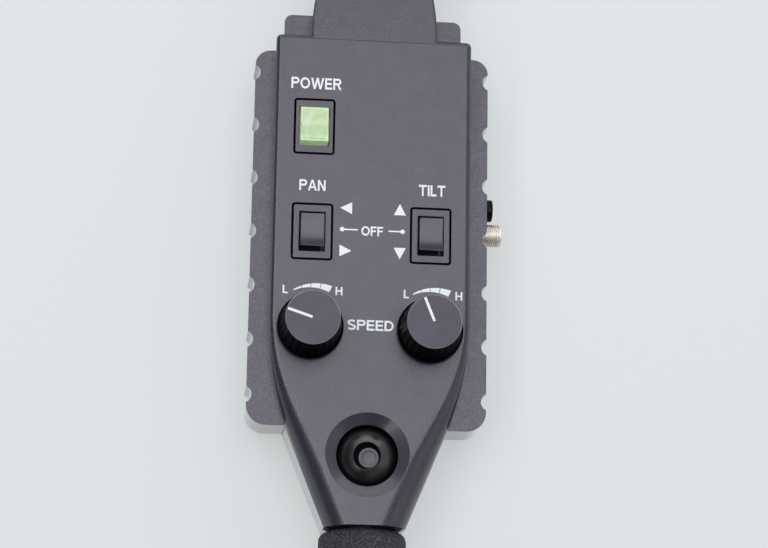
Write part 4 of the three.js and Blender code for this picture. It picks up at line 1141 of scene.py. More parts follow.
class Housing(Assembly):
    """The scalloped side frame, the neck's arm, the screws and the circuit board."""

    neck_edge = 0.18 * MM
    frame_edge = 0.16 * MM
    screw_edge = 0.12 * MM
    notch_radius = 3.2 * MM
    notch_depth = 1.9 * MM
    notch_pitch = 20.19 * MM
    notch_shift = 1.15 * MM
    notch_rows = 7
    notch_patch = 3.1 * MM
    notch_sides = 64
    wall_steepness = 0.5
    case_screws = 6
    neck_screws = 2
    board_screws = 4

    def face_walls(self, piece: Object, end: float) -> None:
        """Gives a piece's outer walls the glossier finish that the mould leaves there, in a lighter
        tone that is painted sheen.

        Args:
            piece: The painted piece.
            end: How far towards the neck the piece reaches. Its end face there stays plain.
        """
        piece.data.materials.append(self.palette.get("casing_wall_gloss_and_painted_sheen"))
        # Upright faces get the glossier wall finish, whose lighter tone is painted sheen.
        for face in piece.data.polygons:
            if abs(face.normal.z) < self.wall_steepness and face.center.y < end:
                face.material_index = 1

    def build_side_frame(self) -> None:
        """Builds the side frame, with its scallops cut anew with fine sides."""
        piece = merged_copy(self.nodes["side_frame"], "side_frame_refined")
        low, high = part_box("side_frame")
        reach = self.notch_patch
        centre = high.x + self.notch_radius - self.notch_depth
        profile = [(self.notch_radius, low.z - MM), (self.notch_radius, high.z + MM)]
        for side in (-1, 1):
            left, right = sorted((side * (high.x - reach), side * high.x))
            for row in range(self.notch_rows):
                y = self.notch_shift + (row - (self.notch_rows - 1) / 2) * self.notch_pitch
                patch = box("patch", (left, y - reach, low.z), (right, y + reach, high.z))
                combine(piece, patch, "UNION")
                notch = place(turn("notch", profile, self.notch_sides), (side * centre, y, 0))
                combine(piece, notch, "DIFFERENCE")
        clean(piece)
        soften(piece, self.frame_edge)
        smooth(piece)
        self.paint(piece, "casing")
        self.face_walls(piece, high.y)
        self.enter(piece, "controller", "casing", ["side_frame"])

    def build(self) -> None:
        """Builds the housing."""
        self.build_side_frame()
        self.refine("neck_arm", "controller", "casing", self.neck_edge)
        for kind, count in (("case", self.case_screws), ("neck", self.neck_screws)):
            for number in range(1, count + 1):
                self.refine(f"{kind}_screw_{number}", "controller", "steel", self.screw_edge)
        for number in range(1, self.board_screws + 1):
            self.paint_node(f"board_screw_{number}", "steel")
        self.paint_node("circuit_board", "board")


class Shells(Assembly):
    """The front and rear shells, from the panel's crisp edges to the nose's full round."""

    wall = 2.2 * MM
    gap = 0.3 * MM
    flank_radius = 112 * MM
    taper_start = 16.7 * MM
    nose_half = 14.6 * MM
    panel_edge = 1.8 * MM
    nose_edge = 10.0 * MM
    back_edge = 3.0 * MM
    nose_back_edge = 9.6 * MM
    growth_start = 36.5 * MM
    growth_length = 55 * MM
    least_edge = 0.4 * MM
    flank_steps = 44
    tray_top = 8.7 * MM
    neck_half = 23.3 * MM
    neck_rise = 4.5 * MM
    neck_flare_radius = 90 * MM
    neck_flare = 26 * MM
    neck_return_radius = 40 * MM
    neck_slope = math.tan(math.radians(1.6))
    neck_edge = 0.9 * MM
    neck_steps = 16
    neck_segments = 6
    outer_segments = 12
    inner_segments = 3
    dish_radius = 15.1 * MM
    dish_hole = 11.0 * MM
    dish_depth = 2.2 * MM
    dish_rim = 2.25 * MM
    cutout = (15.0 * MM, 21.2 * MM, 1.2 * MM)
    bushing_hole = 4.2 * MM
    grip_bore = 11.3 * MM
    grip_entry = 11.5 * MM
    grip_height = 17.0 * MM
    screw_hole = 1.7 * MM
    screw_floor = 2.9 * MM
    head_room = 0.3 * MM
    column_wall = 1.1 * MM
    edge = 0.16 * MM

    def measure(self) -> None:
        """Takes the shells' places from the CAD boxes."""
        low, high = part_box("front_shell")
        self.panel, self.half = high.z, high.x
        self.nose_end, self.neck_end = low.y, high.y
        frame_low, frame_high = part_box("side_frame")
        self.frame_end, self.frame_top = frame_low.y, frame_high.z
        self.body_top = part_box("rear_shell")[1].y
        self.corner = self.frame_end + self.taper_start
        self.slope = (self.half - self.nose_half) / (self.corner - self.nose_end)
        self.angle = math.atan(self.slope)
        self.flank_start = self.corner + self.flank_radius * math.tan(self.angle / 2)

    def half_width(self, y: float, inset: float) -> float:
        """Gives the body's half width at a place: straight, then an arc, then the taper."""
        centre = self.half - self.flank_radius
        radius = self.flank_radius - inset
        arc_end = self.flank_start - radius * math.sin(self.angle)
        if y >= self.flank_start:
            return self.half - inset
        if y >= arc_end:
            return centre + math.sqrt(radius**2 - (self.flank_start - y) ** 2)
        return centre + radius * math.cos(self.angle) - (arc_end - y) * self.slope

    def growth(self, y: float) -> float:
        """Gives how far the edges have grown, from 0 on the panel to 1 on the nose."""
        start = self.frame_end + self.growth_start
        share = min(max((start - y) / self.growth_length, 0), 1)
        return share * share * (3 - 2 * share)

    def body(self, inset: float, segments: int) -> Object:
        """Draws the whole body, drawn in by an inset all round."""
        start, end = self.flank_start, self.nose_end + inset
        steps = self.flank_steps
        places = [self.body_top - inset]
        places += [start + (end - start) * k / steps for k in range(steps + 1)]
        stations = [
            Station(
                y,
                self.half_width(y, inset),
                inset,
                self.panel - inset,
                self.edge_at(y, self.panel_edge, self.nose_edge, inset),
                self.edge_at(y, self.back_edge, self.nose_back_edge, inset),
            )
            for y in places
        ]
        return loft("body", stations, max(self.panel_edge - inset, self.least_edge), segments)

    def edge_at(self, y: float, panel: float, nose: float, inset: float) -> float:
        """Gives an edge's rounding at a place."""
        return max(panel + (nose - panel) * self.growth(y) - inset, self.least_edge)

    def neck(self, inset: float, start: float, end: float) -> Object:
        """Draws the front half of the neck, whose face falls away from the panel."""
        stations = []
        body_start = self.body_top - self.panel_edge * 2
        for k in range(self.neck_steps + 1):
            y = end + (start - end) * k / self.neck_steps
            along = max(y - self.body_top, 0)
            flare = min(along, self.neck_flare)
            slope = self.neck_flare / self.neck_flare_radius
            back = min(max(along - self.neck_flare, 0), slope * self.neck_return_radius)
            drop = flare**2 / (2 * self.neck_flare_radius)
            drop += slope * back - back**2 / (2 * self.neck_return_radius)
            fall = max(y - body_start, 0) * self.neck_slope
            stations.append(
                Station(
                    y,
                    self.neck_half - drop - inset,
                    self.frame_top - self.neck_rise,
                    self.panel - fall - inset,
                    max(self.neck_edge - inset, self.least_edge),
                    self.least_edge,
                )
            )
        return loft("neck", stations, self.least_edge, self.neck_segments)

    def slab(self, low: float, high: float, start: float = -1.0) -> Object:
        """Makes a wide block between two heights, from one place towards the neck."""
        return box("slab", (-1, start, low), (1, 1, high))

    def bar(self, at: Vector, radius: float, low: float, high: float) -> Object:
        """Makes an upright round bar over a point, between two heights."""
        return place(turn("bar", [(radius, low), (radius, high)], 48), (at.x, at.y, 0))

    def drill(self, shell: Object, at: Vector, radius: float, low: float, high: float) -> None:
        """Cuts an upright round hole over a point, between two heights."""
        combine(shell, self.bar(at, radius, low, high), "DIFFERENCE")

    def skin(self) -> Object:
        """Draws the whole body as a hollow skin."""
        shell = self.body(0, self.outer_segments)
        combine(shell, self.body(self.wall, self.inner_segments), "DIFFERENCE")
        return shell

    def bore(self) -> Object:
        """Makes the round bar that bores both shells for the grip tube."""
        length = self.grip_entry + MM
        bar = turn("bore", [(self.grip_bore, 0), (self.grip_bore, length)])
        start = self.nose_end - MM + self.grip_entry + MM
        return place(bar, (0, start, self.grip_height), Axis.DOWN_THE_GRIP)

    def cutter(self, node: str) -> Object:
        """Makes the rounded block that cuts a switch's hole."""
        middle = span(node)[2]
        width, length, corner = self.cutout
        block = box(
            "cutter",
            (middle.x - width / 2, middle.y - length / 2, self.frame_top),
            (middle.x + width / 2, middle.y + length / 2, self.panel + MM),
        )
        with editing(block, Element.EDGE):
            pick(block, Element.EDGE, lambda at, way: abs(way.z) > self.wall)
            bpy.ops.mesh.bevel(offset=corner, segments=8)
        return block

    def build_front(self, centre: Vector) -> None:
        """Builds the front shell with its dish and holes."""
        shell = self.skin()
        neck = self.neck(0, self.body_top - self.panel_edge * 2, self.neck_end)
        hollow = self.neck(self.wall, self.body_top + self.wall, self.neck_end - self.wall)
        combine(neck, hollow, "DIFFERENCE")
        combine(shell, neck, "UNION")
        floor = self.panel - self.dish_depth
        rim = self.dish_radius + self.dish_rim
        ring = self.bar(centre, rim, floor - self.wall, self.panel - self.wall / 2)
        combine(shell, ring, "UNION")
        combine(shell, self.slab(-MM, self.frame_top + self.gap), "DIFFERENCE")
        slope = (self.dish_radius - self.dish_hole) / self.dish_depth
        profile = [
            (self.dish_hole, floor - self.wall - MM),
            (self.dish_hole, floor),
            (self.dish_radius + MM * slope, self.panel + MM),
        ]
        dish = place(turn("dish", profile, 128), (centre.x, centre.y, 0))
        combine(shell, dish, "DIFFERENCE")
        for name in ("power", "pan", "tilt"):
            combine(shell, self.cutter(f"{name}_switch_body"), "DIFFERENCE")
        for name in ("pan", "tilt"):
            at = span(f"{name}_speed_shaft")[2]
            self.drill(shell, at, self.bushing_hole, self.frame_top, self.panel + MM)
        combine(shell, self.bore(), "DIFFERENCE")
        self.close(shell, "front_shell")

    def build_rear(self) -> None:
        """Builds the rear shell with its screw columns."""
        shell = self.skin()
        combine(shell, self.slab(self.frame_top, 1), "DIFFERENCE")
        tray = self.slab(self.tray_top, 1, self.frame_end - self.gap)
        combine(shell, tray, "DIFFERENCE")
        for node in self.nodes:
            if not node.startswith(("case_screw", "neck_screw")):
                continue
            low, high, at = span(node)
            head = (high.x - low.x) / 2 + self.head_room
            column = self.bar(at, head + self.column_wall, MM, self.tray_top)
            combine(column, self.body(0, self.outer_segments), "INTERSECT")
            combine(shell, column, "UNION")
            self.drill(shell, at, self.screw_hole, -MM, self.tray_top + MM)
            self.drill(shell, at, head, -MM, self.screw_floor)
        combine(shell, self.bore(), "DIFFERENCE")
        self.close(shell, "rear_shell")

    def close(self, shell: Object, node: str) -> None:
        """Cleans, softens and dresses a shell."""
        shell.name = f"{node}_moulded"
        clean(shell)
        soften(shell, self.edge)
        smooth(shell)
        self.add(shell, "controller", "casing", [node])

    def build(self) -> None:
        """Builds both shells."""
        self.measure()
        self.build_front(Vector(self.joints["joystick_left_right"]["pos_m"]))
        self.build_rear()


@dataclass(frozen=True)
class RockerShape:
    """A rocker's shape about its own pivot: a hollowed face over a narrower foot.

    The width lies along the pivot and the length across it. The rise is how far its ends stand
    above the panel, the dip how far its middle lies below its ends, and the foot is a share of
    the length.
    """

    width: float
    length: float
    rise: float
    dip: float
    foot: float


class Switches(Assembly):
    """The power rocker with its tinted lens and the two direction rockers."""

    direction = RockerShape(8.7 * MM, 12.3 * MM, 2.7 * MM, 0.85 * MM, 0.5)
    power = RockerShape(10.3 * MM, 13.3 * MM, 1.6 * MM, 0.9 * MM, 0.94)
    pivot_depth = 4.0 * MM
    foot_drop = 3.0 * MM
    waist_rise = 2.0 * MM
    rows = 16
    edge = 0.38 * MM
    frame_edge = 0.14 * MM
    power_tilt = math.radians(-5)
    pad_inset = 0.9 * MM
    pad_thickness = 0.5 * MM
    pad_lift = 0.06 * MM
    nub_radius = 0.72 * MM
    nub_stretch = 1.9

    def rocker(self, name: str, shape: RockerShape) -> Object:
        """Makes a rocker about its own pivot."""
        width, length, dip, foot = shape.width, shape.length, shape.dip, shape.foot
        half = length / 2
        top = self.pivot_depth + shape.rise
        piece = box(name, (-width / 2, -half, -self.foot_drop), (width / 2, half, top))
        with editing(piece, Element.EDGE):
            pick(piece, Element.EDGE, lambda middle, way: abs(way.y) > half)
            bpy.ops.mesh.subdivide(number_cuts=self.rows - 1)
            bpy.ops.mesh.select_mode(type="VERT")
            for row in range(1, self.rows):
                y = length * (row / self.rows - 0.5)
                sag = dip * (1 - (y / half) ** 2)
                above = self.waist_rise
                pick(piece, Element.VERT, lambda at, _: at.z > above and abs(at.y - y) < TINY)
                bpy.ops.transform.translate(value=(0, 0, -sag))
            pick(piece, Element.VERT, lambda at, normal: at.z < 0)
            bpy.ops.transform.resize(value=(1, foot, 1), center_override=(0, 0, 0))
        return piece

    def settle(self, piece: Object, joint: str, tilt: float) -> None:
        """Moves a rocker that was made about its pivot to the place of its joint."""
        piece.rotation_mode = "XYZ"
        piece.rotation_euler = (tilt, 0, 0)
        piece.location = self.joints[joint]["pos_m"]
        apply_place(piece)

    def fit(self, piece: Object, joint: str, edge: float, segments: int, tilt: float) -> None:
        """Rounds a rocker's edges and settles it on its joint."""
        soften(piece, edge, segments)
        smooth(piece)
        self.settle(piece, joint, tilt)

    def build_direction(self, name: str) -> None:
        """Builds one direction rocker."""
        piece = self.rocker(f"{name}_rocker_cap", self.direction)
        self.fit(piece, f"{name}_rocker_press", self.edge, 4, 0.0)
        self.add(piece, f"{name}_rocker", "rocker", [f"{name}_rocker"])

    def build_power(self) -> None:
        """Builds the power rocker: a pale body, the tinted pad on it and a nub on each side."""
        shape, inset = self.power, self.pad_inset
        body = self.rocker("power_lens", shape)
        self.fit(body, "power_rocker_press", self.edge, 4, self.power_tilt)
        self.add(body, "power_rocker", "lens", ["power_rocker"])

        width, length = shape.width - inset * 2, shape.length - inset * 2
        dip = shape.dip * (1 - inset * 2 / shape.length) ** 2
        pad_shape = RockerShape(width, length, shape.rise + self.pad_lift, dip, 1)
        pad = self.rocker("power_lens_pad", pad_shape)
        floor = self.pivot_depth + shape.rise - shape.dip - self.pad_thickness
        with editing(pad):
            pick(pad, Element.VERT, lambda at, normal: at.z < self.waist_rise)
            bpy.ops.transform.translate(value=(0, 0, floor + self.foot_drop))
        self.fit(pad, "power_rocker_press", self.edge / 2, 3, self.power_tilt)
        self.add(pad, "power_rocker", "lens", finish="lens_pad")
        self.build_nubs()

    def build_nubs(self) -> None:
        """Builds the two pale nubs at the sides of the power rocker's face."""
        height = self.pivot_depth + self.power.rise - self.power.dip
        radius = self.nub_radius
        arc = rounded(radius, height + radius / 2, radius * 0.8)
        for side, word in ((-1, "left"), (1, "right")):
            nub = turn(f"power_lens_nub_{word}", [(radius, height - radius), *arc], 24)
            smooth(nub)
            nub.scale.y = self.nub_stretch
            nub.location.x = side * (self.power.width / 2 - self.pad_inset)
            apply_place(nub)
            self.settle(nub, "power_rocker_press", self.power_tilt)
            self.add(nub, "power_rocker", "lens", finish="lens_nub")

    def build(self) -> None:
        """Builds the three switches."""
        for name in ("power", "pan", "tilt"):
            self.refine(f"{name}_switch_body", "controller", "casing", self.frame_edge)
        for name in ("pan", "tilt"):
            self.build_direction(name)
        self.build_power()
        self.paint_node("power_lamp", "lamp")


class SpeedKnobs(Assembly):
    """The two speed knobs with their pointers."""

    base_radius = 11.9 * MM
    shoulder_radius = 11.45 * MM
    top_radius = 9.78 * MM
    face_radius = 9.5 * MM
    skirt_height = 2.2 * MM
    bore_radius = 3.3 * MM
    bore_depth = 11.6 * MM
    hollow_radius = 8.4 * MM
    hollow_depth = 5.0 * MM
    face_drop = 0.08 * MM
    lip = 0.16 * MM
    foot_chamfer = 0.3 * MM
    skirt_rounding = 0.35 * MM
    step = 0.1 * MM
    band = 0.5 * MM
    band_rise = 0.08 * MM
    level = 0.97
    flutes = 24
    flute_steps = 8
    flute_rise = 1.3
    flute_end = 0.7 * MM
    flute_depth = 0.3 * MM
    pointer_width = 0.95 * MM
    pointer_start = 0.2 * MM
    pointer_rise = 0.05 * MM
    bearings = {"pan": 72.0, "tilt": 22.0}

    def knob(self, name: str, low: float, high: float) -> Object:
        """Turns one knob about the Z axis between two heights."""
        tall = high - low
        chamfer = self.top_radius - self.face_radius
        skirt = self.skirt_height
        body_top = tall - chamfer
        profile = [
            (self.bore_radius, self.bore_depth),
            (self.bore_radius, self.hollow_depth),
            (self.hollow_radius, self.hollow_depth),
            (self.hollow_radius, 0),
            (self.base_radius - self.foot_chamfer, 0),
            (self.base_radius, self.foot_chamfer),
            *rounded(self.base_radius, skirt, self.skirt_rounding),
            (self.shoulder_radius, skirt + self.step),
            (self.shoulder_radius - self.step, skirt * 1.4),
            ((self.shoulder_radius + self.top_radius) / 2, tall / 2),
            (self.top_radius + self.band_rise, body_top - self.band * 1.6),
            (self.top_radius, body_top - self.band),
            (self.top_radius, body_top),
            (self.face_radius, tall),
            (self.face_radius - self.step, tall),
            (self.face_radius - self.lip, tall - self.face_drop),
        ]
        piece = turn(name, profile, self.flutes * self.flute_steps)
        low_end = skirt * self.flute_rise - TINY
        high_end = body_top - self.flute_end + TINY
        wave(
            piece,
            self.flutes,
            self.flute_depth,
            self.flute_steps,
            lambda at: low_end < at.z < high_end,
        )
        return piece

    def dress(self, piece: Object, high: float) -> None:
        """Gives a knob its glossy sides, its satin face and, on the rim between them, a lighter
        painted highlight.
        """
        self.paint(piece, "knob_skirt")
        for finish in ("knob_face", "knob_rim_painted_highlight"):
            piece.data.materials.append(self.palette.get(finish))
        for face in piece.data.polygons:
            if face.normal.z > 0.5 and face.center.z > high - self.face_drop * 5:
                # Chamfer faces round the top get the lighter rim colour, a painted highlight; the
                # flat top gets the satin face.
                face.material_index = 1 if face.normal.z > self.level else 2

    def build_one(self, name: str) -> None:
        """Builds one knob and its pointer."""
        low, high, centre = span(f"{name}_speed_knob")
        knob = self.knob(f"{name}_knob_cap", low.z, high.z)
        smooth(knob)
        place(knob, (centre.x, centre.y, low.z))
        self.dress(knob, high.z)
        self.enter(knob, f"{name}_knob", "knob", [f"{name}_speed_knob"])

        face = high.z - self.face_drop
        half = self.pointer_width / 2
        reach = self.face_radius - self.lip
        pointer = box(
            f"{name}_knob_pointer",
            (-half, self.pointer_start, -self.pointer_rise),
            (half, reach, self.pointer_rise),
        )
        soften(pointer, self.pointer_rise / 2, 2)
        smooth(pointer)
        pointer.rotation_euler.z = math.radians(self.bearings[name])
        pointer.location = (centre.x, centre.y, face)
        apply_place(pointer)
        self.add(pointer, f"{name}_knob", "knob", finish="ink")

    def build(self) -> None:
        """Builds both knobs and finishes what is under them."""
        for name in ("pan", "tilt"):
            self.build_one(name)
            self.paint_node(f"{name}_speed_potentiometer", "black_plastic")
            self.paint_node(f"{name}_potentiometer_nut", "steel")
            self.paint_node(f"{name}_speed_shaft", "steel")


class Joystick(Assembly):
    """The ball cover, the stick with its dimpled cap and the gimbal below."""

    dome_radius = 12.5 * MM
    dome_wall = 1.2 * MM
    dome_edge = math.radians(75)
    well_radius = 4.7 * MM
    well_depth = 3.2 * MM
    well_rounding = 0.35 * MM
    shaft_hole = 2.5 * MM
    cap_radius = 3.65 * MM
    cap_drop = 0.5 * MM
    cap_edge = 0.35 * MM
    cap_gap = 0.3 * MM
    cap_lean = (0.69 * MM, -0.71 * MM, 0)
    lean = (math.radians(3.0), math.radians(-1.8), 0)
    dimple_radius = 2.8 * MM
    dimple_depth = 0.6 * MM
    dimple_steps = 8
    shaft_radius = 2.2 * MM
    hub_radius = 3.4 * MM
    hub_half = 2.2 * MM
    tail = 3.8 * MM
    arc_steps = 22

    def arc(self, radius: float, start: float, end: float) -> list[Flat]:
        """Gives rings along a ball from one angle off its axis to another."""
        steps = self.arc_steps
        angles = [start + (end - start) * k / steps for k in range(steps + 1)]
        return [(radius * math.sin(a), radius * math.cos(a)) for a in angles]

    def stand(self, piece: Object, centre: Vector) -> None:
        """Leans a piece as the joystick leans in the photograph and moves it to its place."""
        piece.rotation_mode = "XYZ"
        piece.rotation_euler = self.lean
        piece.location = centre
        apply_place(piece)

    def build_dome(self, centre: Vector, rim: float, floor: float) -> None:
        """Builds the ball cover with the well for the stick's cap."""
        inside = self.dome_radius - self.dome_wall
        ceiling = floor - self.dome_wall
        rim_angle = math.asin((self.well_radius + self.well_rounding) / self.dome_radius)
        rounding = rounded(self.well_radius, rim, self.well_rounding, inward=False)
        profile = [
            *self.arc(self.dome_radius, self.dome_edge, rim_angle),
            *rounding[::-1][1:],
            (self.well_radius, floor),
            (self.shaft_hole, floor),
            (self.shaft_hole, ceiling),
            *self.arc(inside, math.acos(ceiling / inside), self.dome_edge),
        ]
        dome = turn("joystick_cover", profile, 128, bored=True)
        smooth(dome)
        self.paint(dome, "dome")
        dome.data.materials.append(self.palette.get("well"))
        for face in dome.data.polygons:
            if face.center.xy.length < self.well_radius + TINY and face.center.z > ceiling:
                face.material_index = 1
        self.stand(dome, centre)
        self.enter(dome, "joystick", "dome", ["joystick_dome"])

    def build_stick(self, centre: Vector, rim: float, floor: float) -> None:
        """Builds the stick with its dimpled cap."""
        top = rim - self.cap_drop
        steps = self.dimple_steps
        dimple = [
            (self.dimple_radius * math.cos(a), top - self.dimple_depth * math.sin(a))
            for a in (k / steps * math.pi / 2 for k in range(steps))
        ]
        profile = [
            (self.shaft_radius, -self.tail),
            (self.hub_radius, -self.hub_half),
            (self.hub_radius, self.hub_half),
            (self.shaft_radius, self.hub_half * 1.5),
            (self.shaft_radius, floor + self.cap_gap),
            (self.cap_radius, floor + self.cap_gap),
            *rounded(self.cap_radius, top, self.cap_edge),
            *dimple,
        ]
        stick = turn("joystick_cap", profile)
        with editing(stick):
            pick(stick, Element.VERT, lambda at, normal: at.z > floor + self.cap_gap - TINY)
            bpy.ops.transform.translate(value=self.cap_lean)
        smooth(stick)
        self.stand(stick, centre)
        self.add(stick, "joystick", "stick", ["joystick_stick"])

    def build(self) -> None:
        """Builds the joystick."""
        centre = Vector(self.joints["joystick_left_right"]["pos_m"])
        rim = math.sqrt(self.dome_radius**2 - self.well_radius**2)
        floor = rim - self.well_depth
        self.build_dome(centre, rim, floor)
        self.build_stick(centre, rim, floor)
        self.paint_node("gimbal_ring", "steel")
        self.paint_node("gimbal_cross_pin", "steel")
        self.paint_node("joystick_base", "black_plastic")
        self.paint_node("joystick_sensor_board", "board")


class Sockets(Assembly):
    """The power jack and the control socket on the right side."""

    sides = 72
    jack_rounding = 0.5 * MM
    jack_barrel = 3.5 * MM
    jack_flange = 4.1 * MM
    jack_bore = 2.75 * MM
    jack_bore_depth = 9.0 * MM
    jack_mouth = 0.3 * MM
    jack_pin = 0.9 * MM
    jack_pin_tip = 0.4 * MM
    jack_pin_setback = 1.5 * MM
    flange_thickness = 2.5 * MM
    flange_chamfer = 0.15 * MM
    control_radius = 4.15 * MM
    control_bore = 3.3 * MM
    control_barrel = 3.6 * MM
    control_length = 5.7 * MM
    control_rounding = 0.2 * MM
    thread_pitch = 0.75 * MM
    thread_depth = 0.22 * MM
    thread_start = 0.6 * MM
    thread_margin = 1.2 * MM
    collar = 0.45 * MM
    insert_edge = 0.1 * MM

    def build_jack(self) -> None:
        """Builds the power jack."""
        low, high, middle = span("dc_jack")
        length = high.x - low.x
        face = length - self.flange_thickness
        profile = [
            (self.jack_barrel, 0),
            (self.jack_barrel, face),
            (self.jack_flange - self.flange_chamfer, face),
            (self.jack_flange, face + self.flange_chamfer),
            *rounded(self.jack_flange, length, self.jack_rounding),
            *rounded(self.jack_bore, length, self.jack_mouth, inward=False)[::-1],
            (self.jack_bore, length - self.jack_bore_depth),
            (self.jack_pin, length - self.jack_bore_depth),
            *rounded(self.jack_pin, length - self.jack_pin_setback, self.jack_pin_tip),
        ]
        jack = turn("power_jack", profile, self.sides)
        smooth(jack)
        place(jack, (low.x, middle.y, middle.z), Axis.RIGHT)
        self.add(jack, "controller", "black_plastic", ["dc_jack"], "jack")

    def build_control(self) -> None:
        """Builds the threaded shell of the control socket."""
        low, high, middle = span("control_socket")
        length = high.x - low.x
        face = length - self.control_length
        crest, root = self.control_radius, self.control_radius - self.thread_depth
        tooth = ((root, 0), (crest, 0.35), (crest, 0.6), (root, 0.95))
        turns = int((self.control_length - self.thread_margin) / self.thread_pitch)
        profile = [
            (self.control_bore, 0),
            (self.control_barrel, 0),
            (self.control_barrel, face),
            (crest, face),
            (crest, face + self.collar),
            *thread(tooth, face + self.thread_start, self.thread_pitch, turns),
            *rounded(root, length, self.control_rounding),
            *rounded(self.control_bore, length, self.control_rounding, inward=False)[::-1],
        ]
        shell = turn("control_socket_shell", profile, self.sides, bored=True)
        smooth(shell)
        place(shell, (low.x, middle.y, middle.z), Axis.RIGHT)
        self.add(shell, "controller", "nickel", ["control_socket"])

    def build(self) -> None:
        """Builds both sockets."""
        self.build_jack()
        self.build_control()
        self.refine("socket_insert", "controller", "black_plastic", self.insert_edge)


class Grip(Assembly):
    """The foam sleeve on its tube, with the cap on its end."""

    foam_radius = 15.8 * MM
    bore_radius = 11.3 * MM
    shoulder = 3.2 * MM
    row_pitch = 1.6 * MM
    swell = 0.3 * MM
    swell_size = 9 * MM
    foam_sides = 144
    cap_radius = 14.6 * MM
    cap_thickness = 5.0 * MM
    cap_edge = 1.6 * MM
    cap_chamfer = 0.3 * MM
    cap_dish = 0.4 * MM
    plug_radius = 9.2 * MM
    plug_chamfer = 0.4 * MM

    def build_foam(self) -> None:
        """Builds the foam sleeve, its surface a little uneven."""
        low, high, middle = span("foam_grip")
        length = high.y - low.y
        radius = self.foam_radius - self.swell / 2
        shoulder = rounded(radius, length, self.shoulder)
        straight = length - self.shoulder * 2
        rows = int(straight / self.row_pitch)
        body = [(radius, self.shoulder + straight * k / rows) for k in range(1, rows)]
        start = [(r, length - h) for r, h in shoulder][::-1]
        profile = [(self.bore_radius, 0), *start, *body, *shoulder, (self.bore_radius, length)]
        foam = turn("foam_sleeve", profile, self.foam_sides, bored=True)
        texture = bpy.data.textures.new("foam_swell", "CLOUDS")
        texture.noise_scale = self.swell_size
        modifier = foam.modifiers.new("swell", "DISPLACE")
        modifier.texture = texture
        modifier.texture_coords = "LOCAL"
        modifier.strength = self.swell
        modifier.mid_level = 0.5
        apply_all(foam)
        smooth(foam, weighted=False)
        place(foam, (0, high.y, middle.z), Axis.DOWN_THE_GRIP)
        self.add(foam, "controller", "foam", ["foam_grip"])

    def build_cap(self) -> None:
        """Builds the end cap with its plug and a shallow dish in its face."""
        low, high, middle = span("grip_end_cap")
        length = high.y - low.y
        plug = length - self.cap_thickness
        profile = [
            (self.plug_radius - self.plug_chamfer, 0),
            (self.plug_radius, self.plug_chamfer),
            (self.plug_radius, plug),
            (self.cap_radius - self.cap_chamfer, plug),
            (self.cap_radius, plug + self.cap_chamfer),
            *rounded(self.cap_radius, length, self.cap_edge),
            (self.cap_radius - self.cap_edge * 2, length),
            (self.cap_radius - self.cap_edge * 2.4, length - self.cap_dish),
        ]
        cap = turn("grip_cap", profile)
        smooth(cap)
        place(cap, (0, high.y, middle.z), Axis.DOWN_THE_GRIP)
        self.add(cap, "controller", "black_plastic", ["grip_end_cap"])

    def build(self) -> None:
        """Builds the grip."""
        self.build_foam()
        self.build_cap()
        self.paint_node("grip_tube", "anodised")


class Clamp(Assembly):
    """The toothed rosette on the neck's boss, the stud through it and the lobed clamp knob."""

    lobes = 6
    lobe_depth = 3.6 * MM
    lobe_steps = 24
    knob_radius = 16.0 * MM
    knob_edge = 2.0 * MM
    collar_radius = 7.0 * MM
    collar_length = 3.0 * MM
    collar_chamfer = 0.3 * MM
    bore_radius = 3.3 * MM
    bore_depth = 8.0 * MM
    recess_radius = 8.0 * MM
    recess_depth = 1.0 * MM
    stud_radius = 3.0 * MM
    stud_chamfer = 0.5 * MM
    stud_sides = 48
    thread_start = 0.6 * MM
    thread_pitch = 1.0 * MM
    thread_depth = 0.55 * MM
    thread_length = 24.0 * MM

    def build_knob(self) -> None:
        """Builds the knob and draws its side in between its lobes."""
        low, high, middle = span("clamp_knob")
        length = high.x - low.x
        collar, edge = self.collar_length, self.knob_edge
        upper = rounded(self.knob_radius, length, edge)
        lower = [(radius, collar + length - height) for radius, height in upper]
        profile = [
            (self.bore_radius, collar + self.bore_depth),
            (self.bore_radius, 0),
            (self.collar_radius - self.collar_chamfer, 0),
            (self.collar_radius, self.collar_chamfer),
            (self.collar_radius, collar),
            *lower[::-1],
            *upper,
            (self.recess_radius + self.recess_depth, length),
            (self.recess_radius, length - self.recess_depth),
        ]
        knob = turn("clamp_knob_grip", profile, self.lobes * self.lobe_steps)
        inner = self.knob_radius - edge * 1.5
        wave(
            knob,
            self.lobes,
            self.lobe_depth,
            self.lobe_steps,
            lambda at: at.xy.length > inner and at.z > collar - TINY,
        )
        smooth(knob)
        place(knob, (low.x, middle.y, middle.z), Axis.RIGHT)
        self.add(knob, "clamp", "black_plastic", ["clamp_knob"])

    def build_stud(self) -> None:
        """Builds the stud, threaded where it stands out of the rosette."""
        low, high, middle = span("clamp_stud")
        crest, core = self.stud_radius, self.stud_radius - self.thread_depth
        tooth = ((core, 0), (crest, 0.45), (crest, 0.55))
        turns = int(self.thread_length / self.thread_pitch)
        profile = [
            (core - self.stud_chamfer, 0),
            (core, self.stud_chamfer),
            *thread(tooth, self.thread_start, self.thread_pitch, turns),
            (crest, self.thread_length + self.thread_pitch),
            (crest, high.x - low.x),
        ]
        stud = turn("clamp_screw", profile, self.stud_sides)
        smooth(stud)
        place(stud, (low.x, middle.y, middle.z), Axis.RIGHT)
        self.add(stud, "clamp", "steel", ["clamp_stud"])

    def build(self) -> None:
        """Builds the clamp."""
        self.refine("rosette", "controller", "aluminium", 0.0)
        self.build_knob()
        self.build_stud()


# Stage


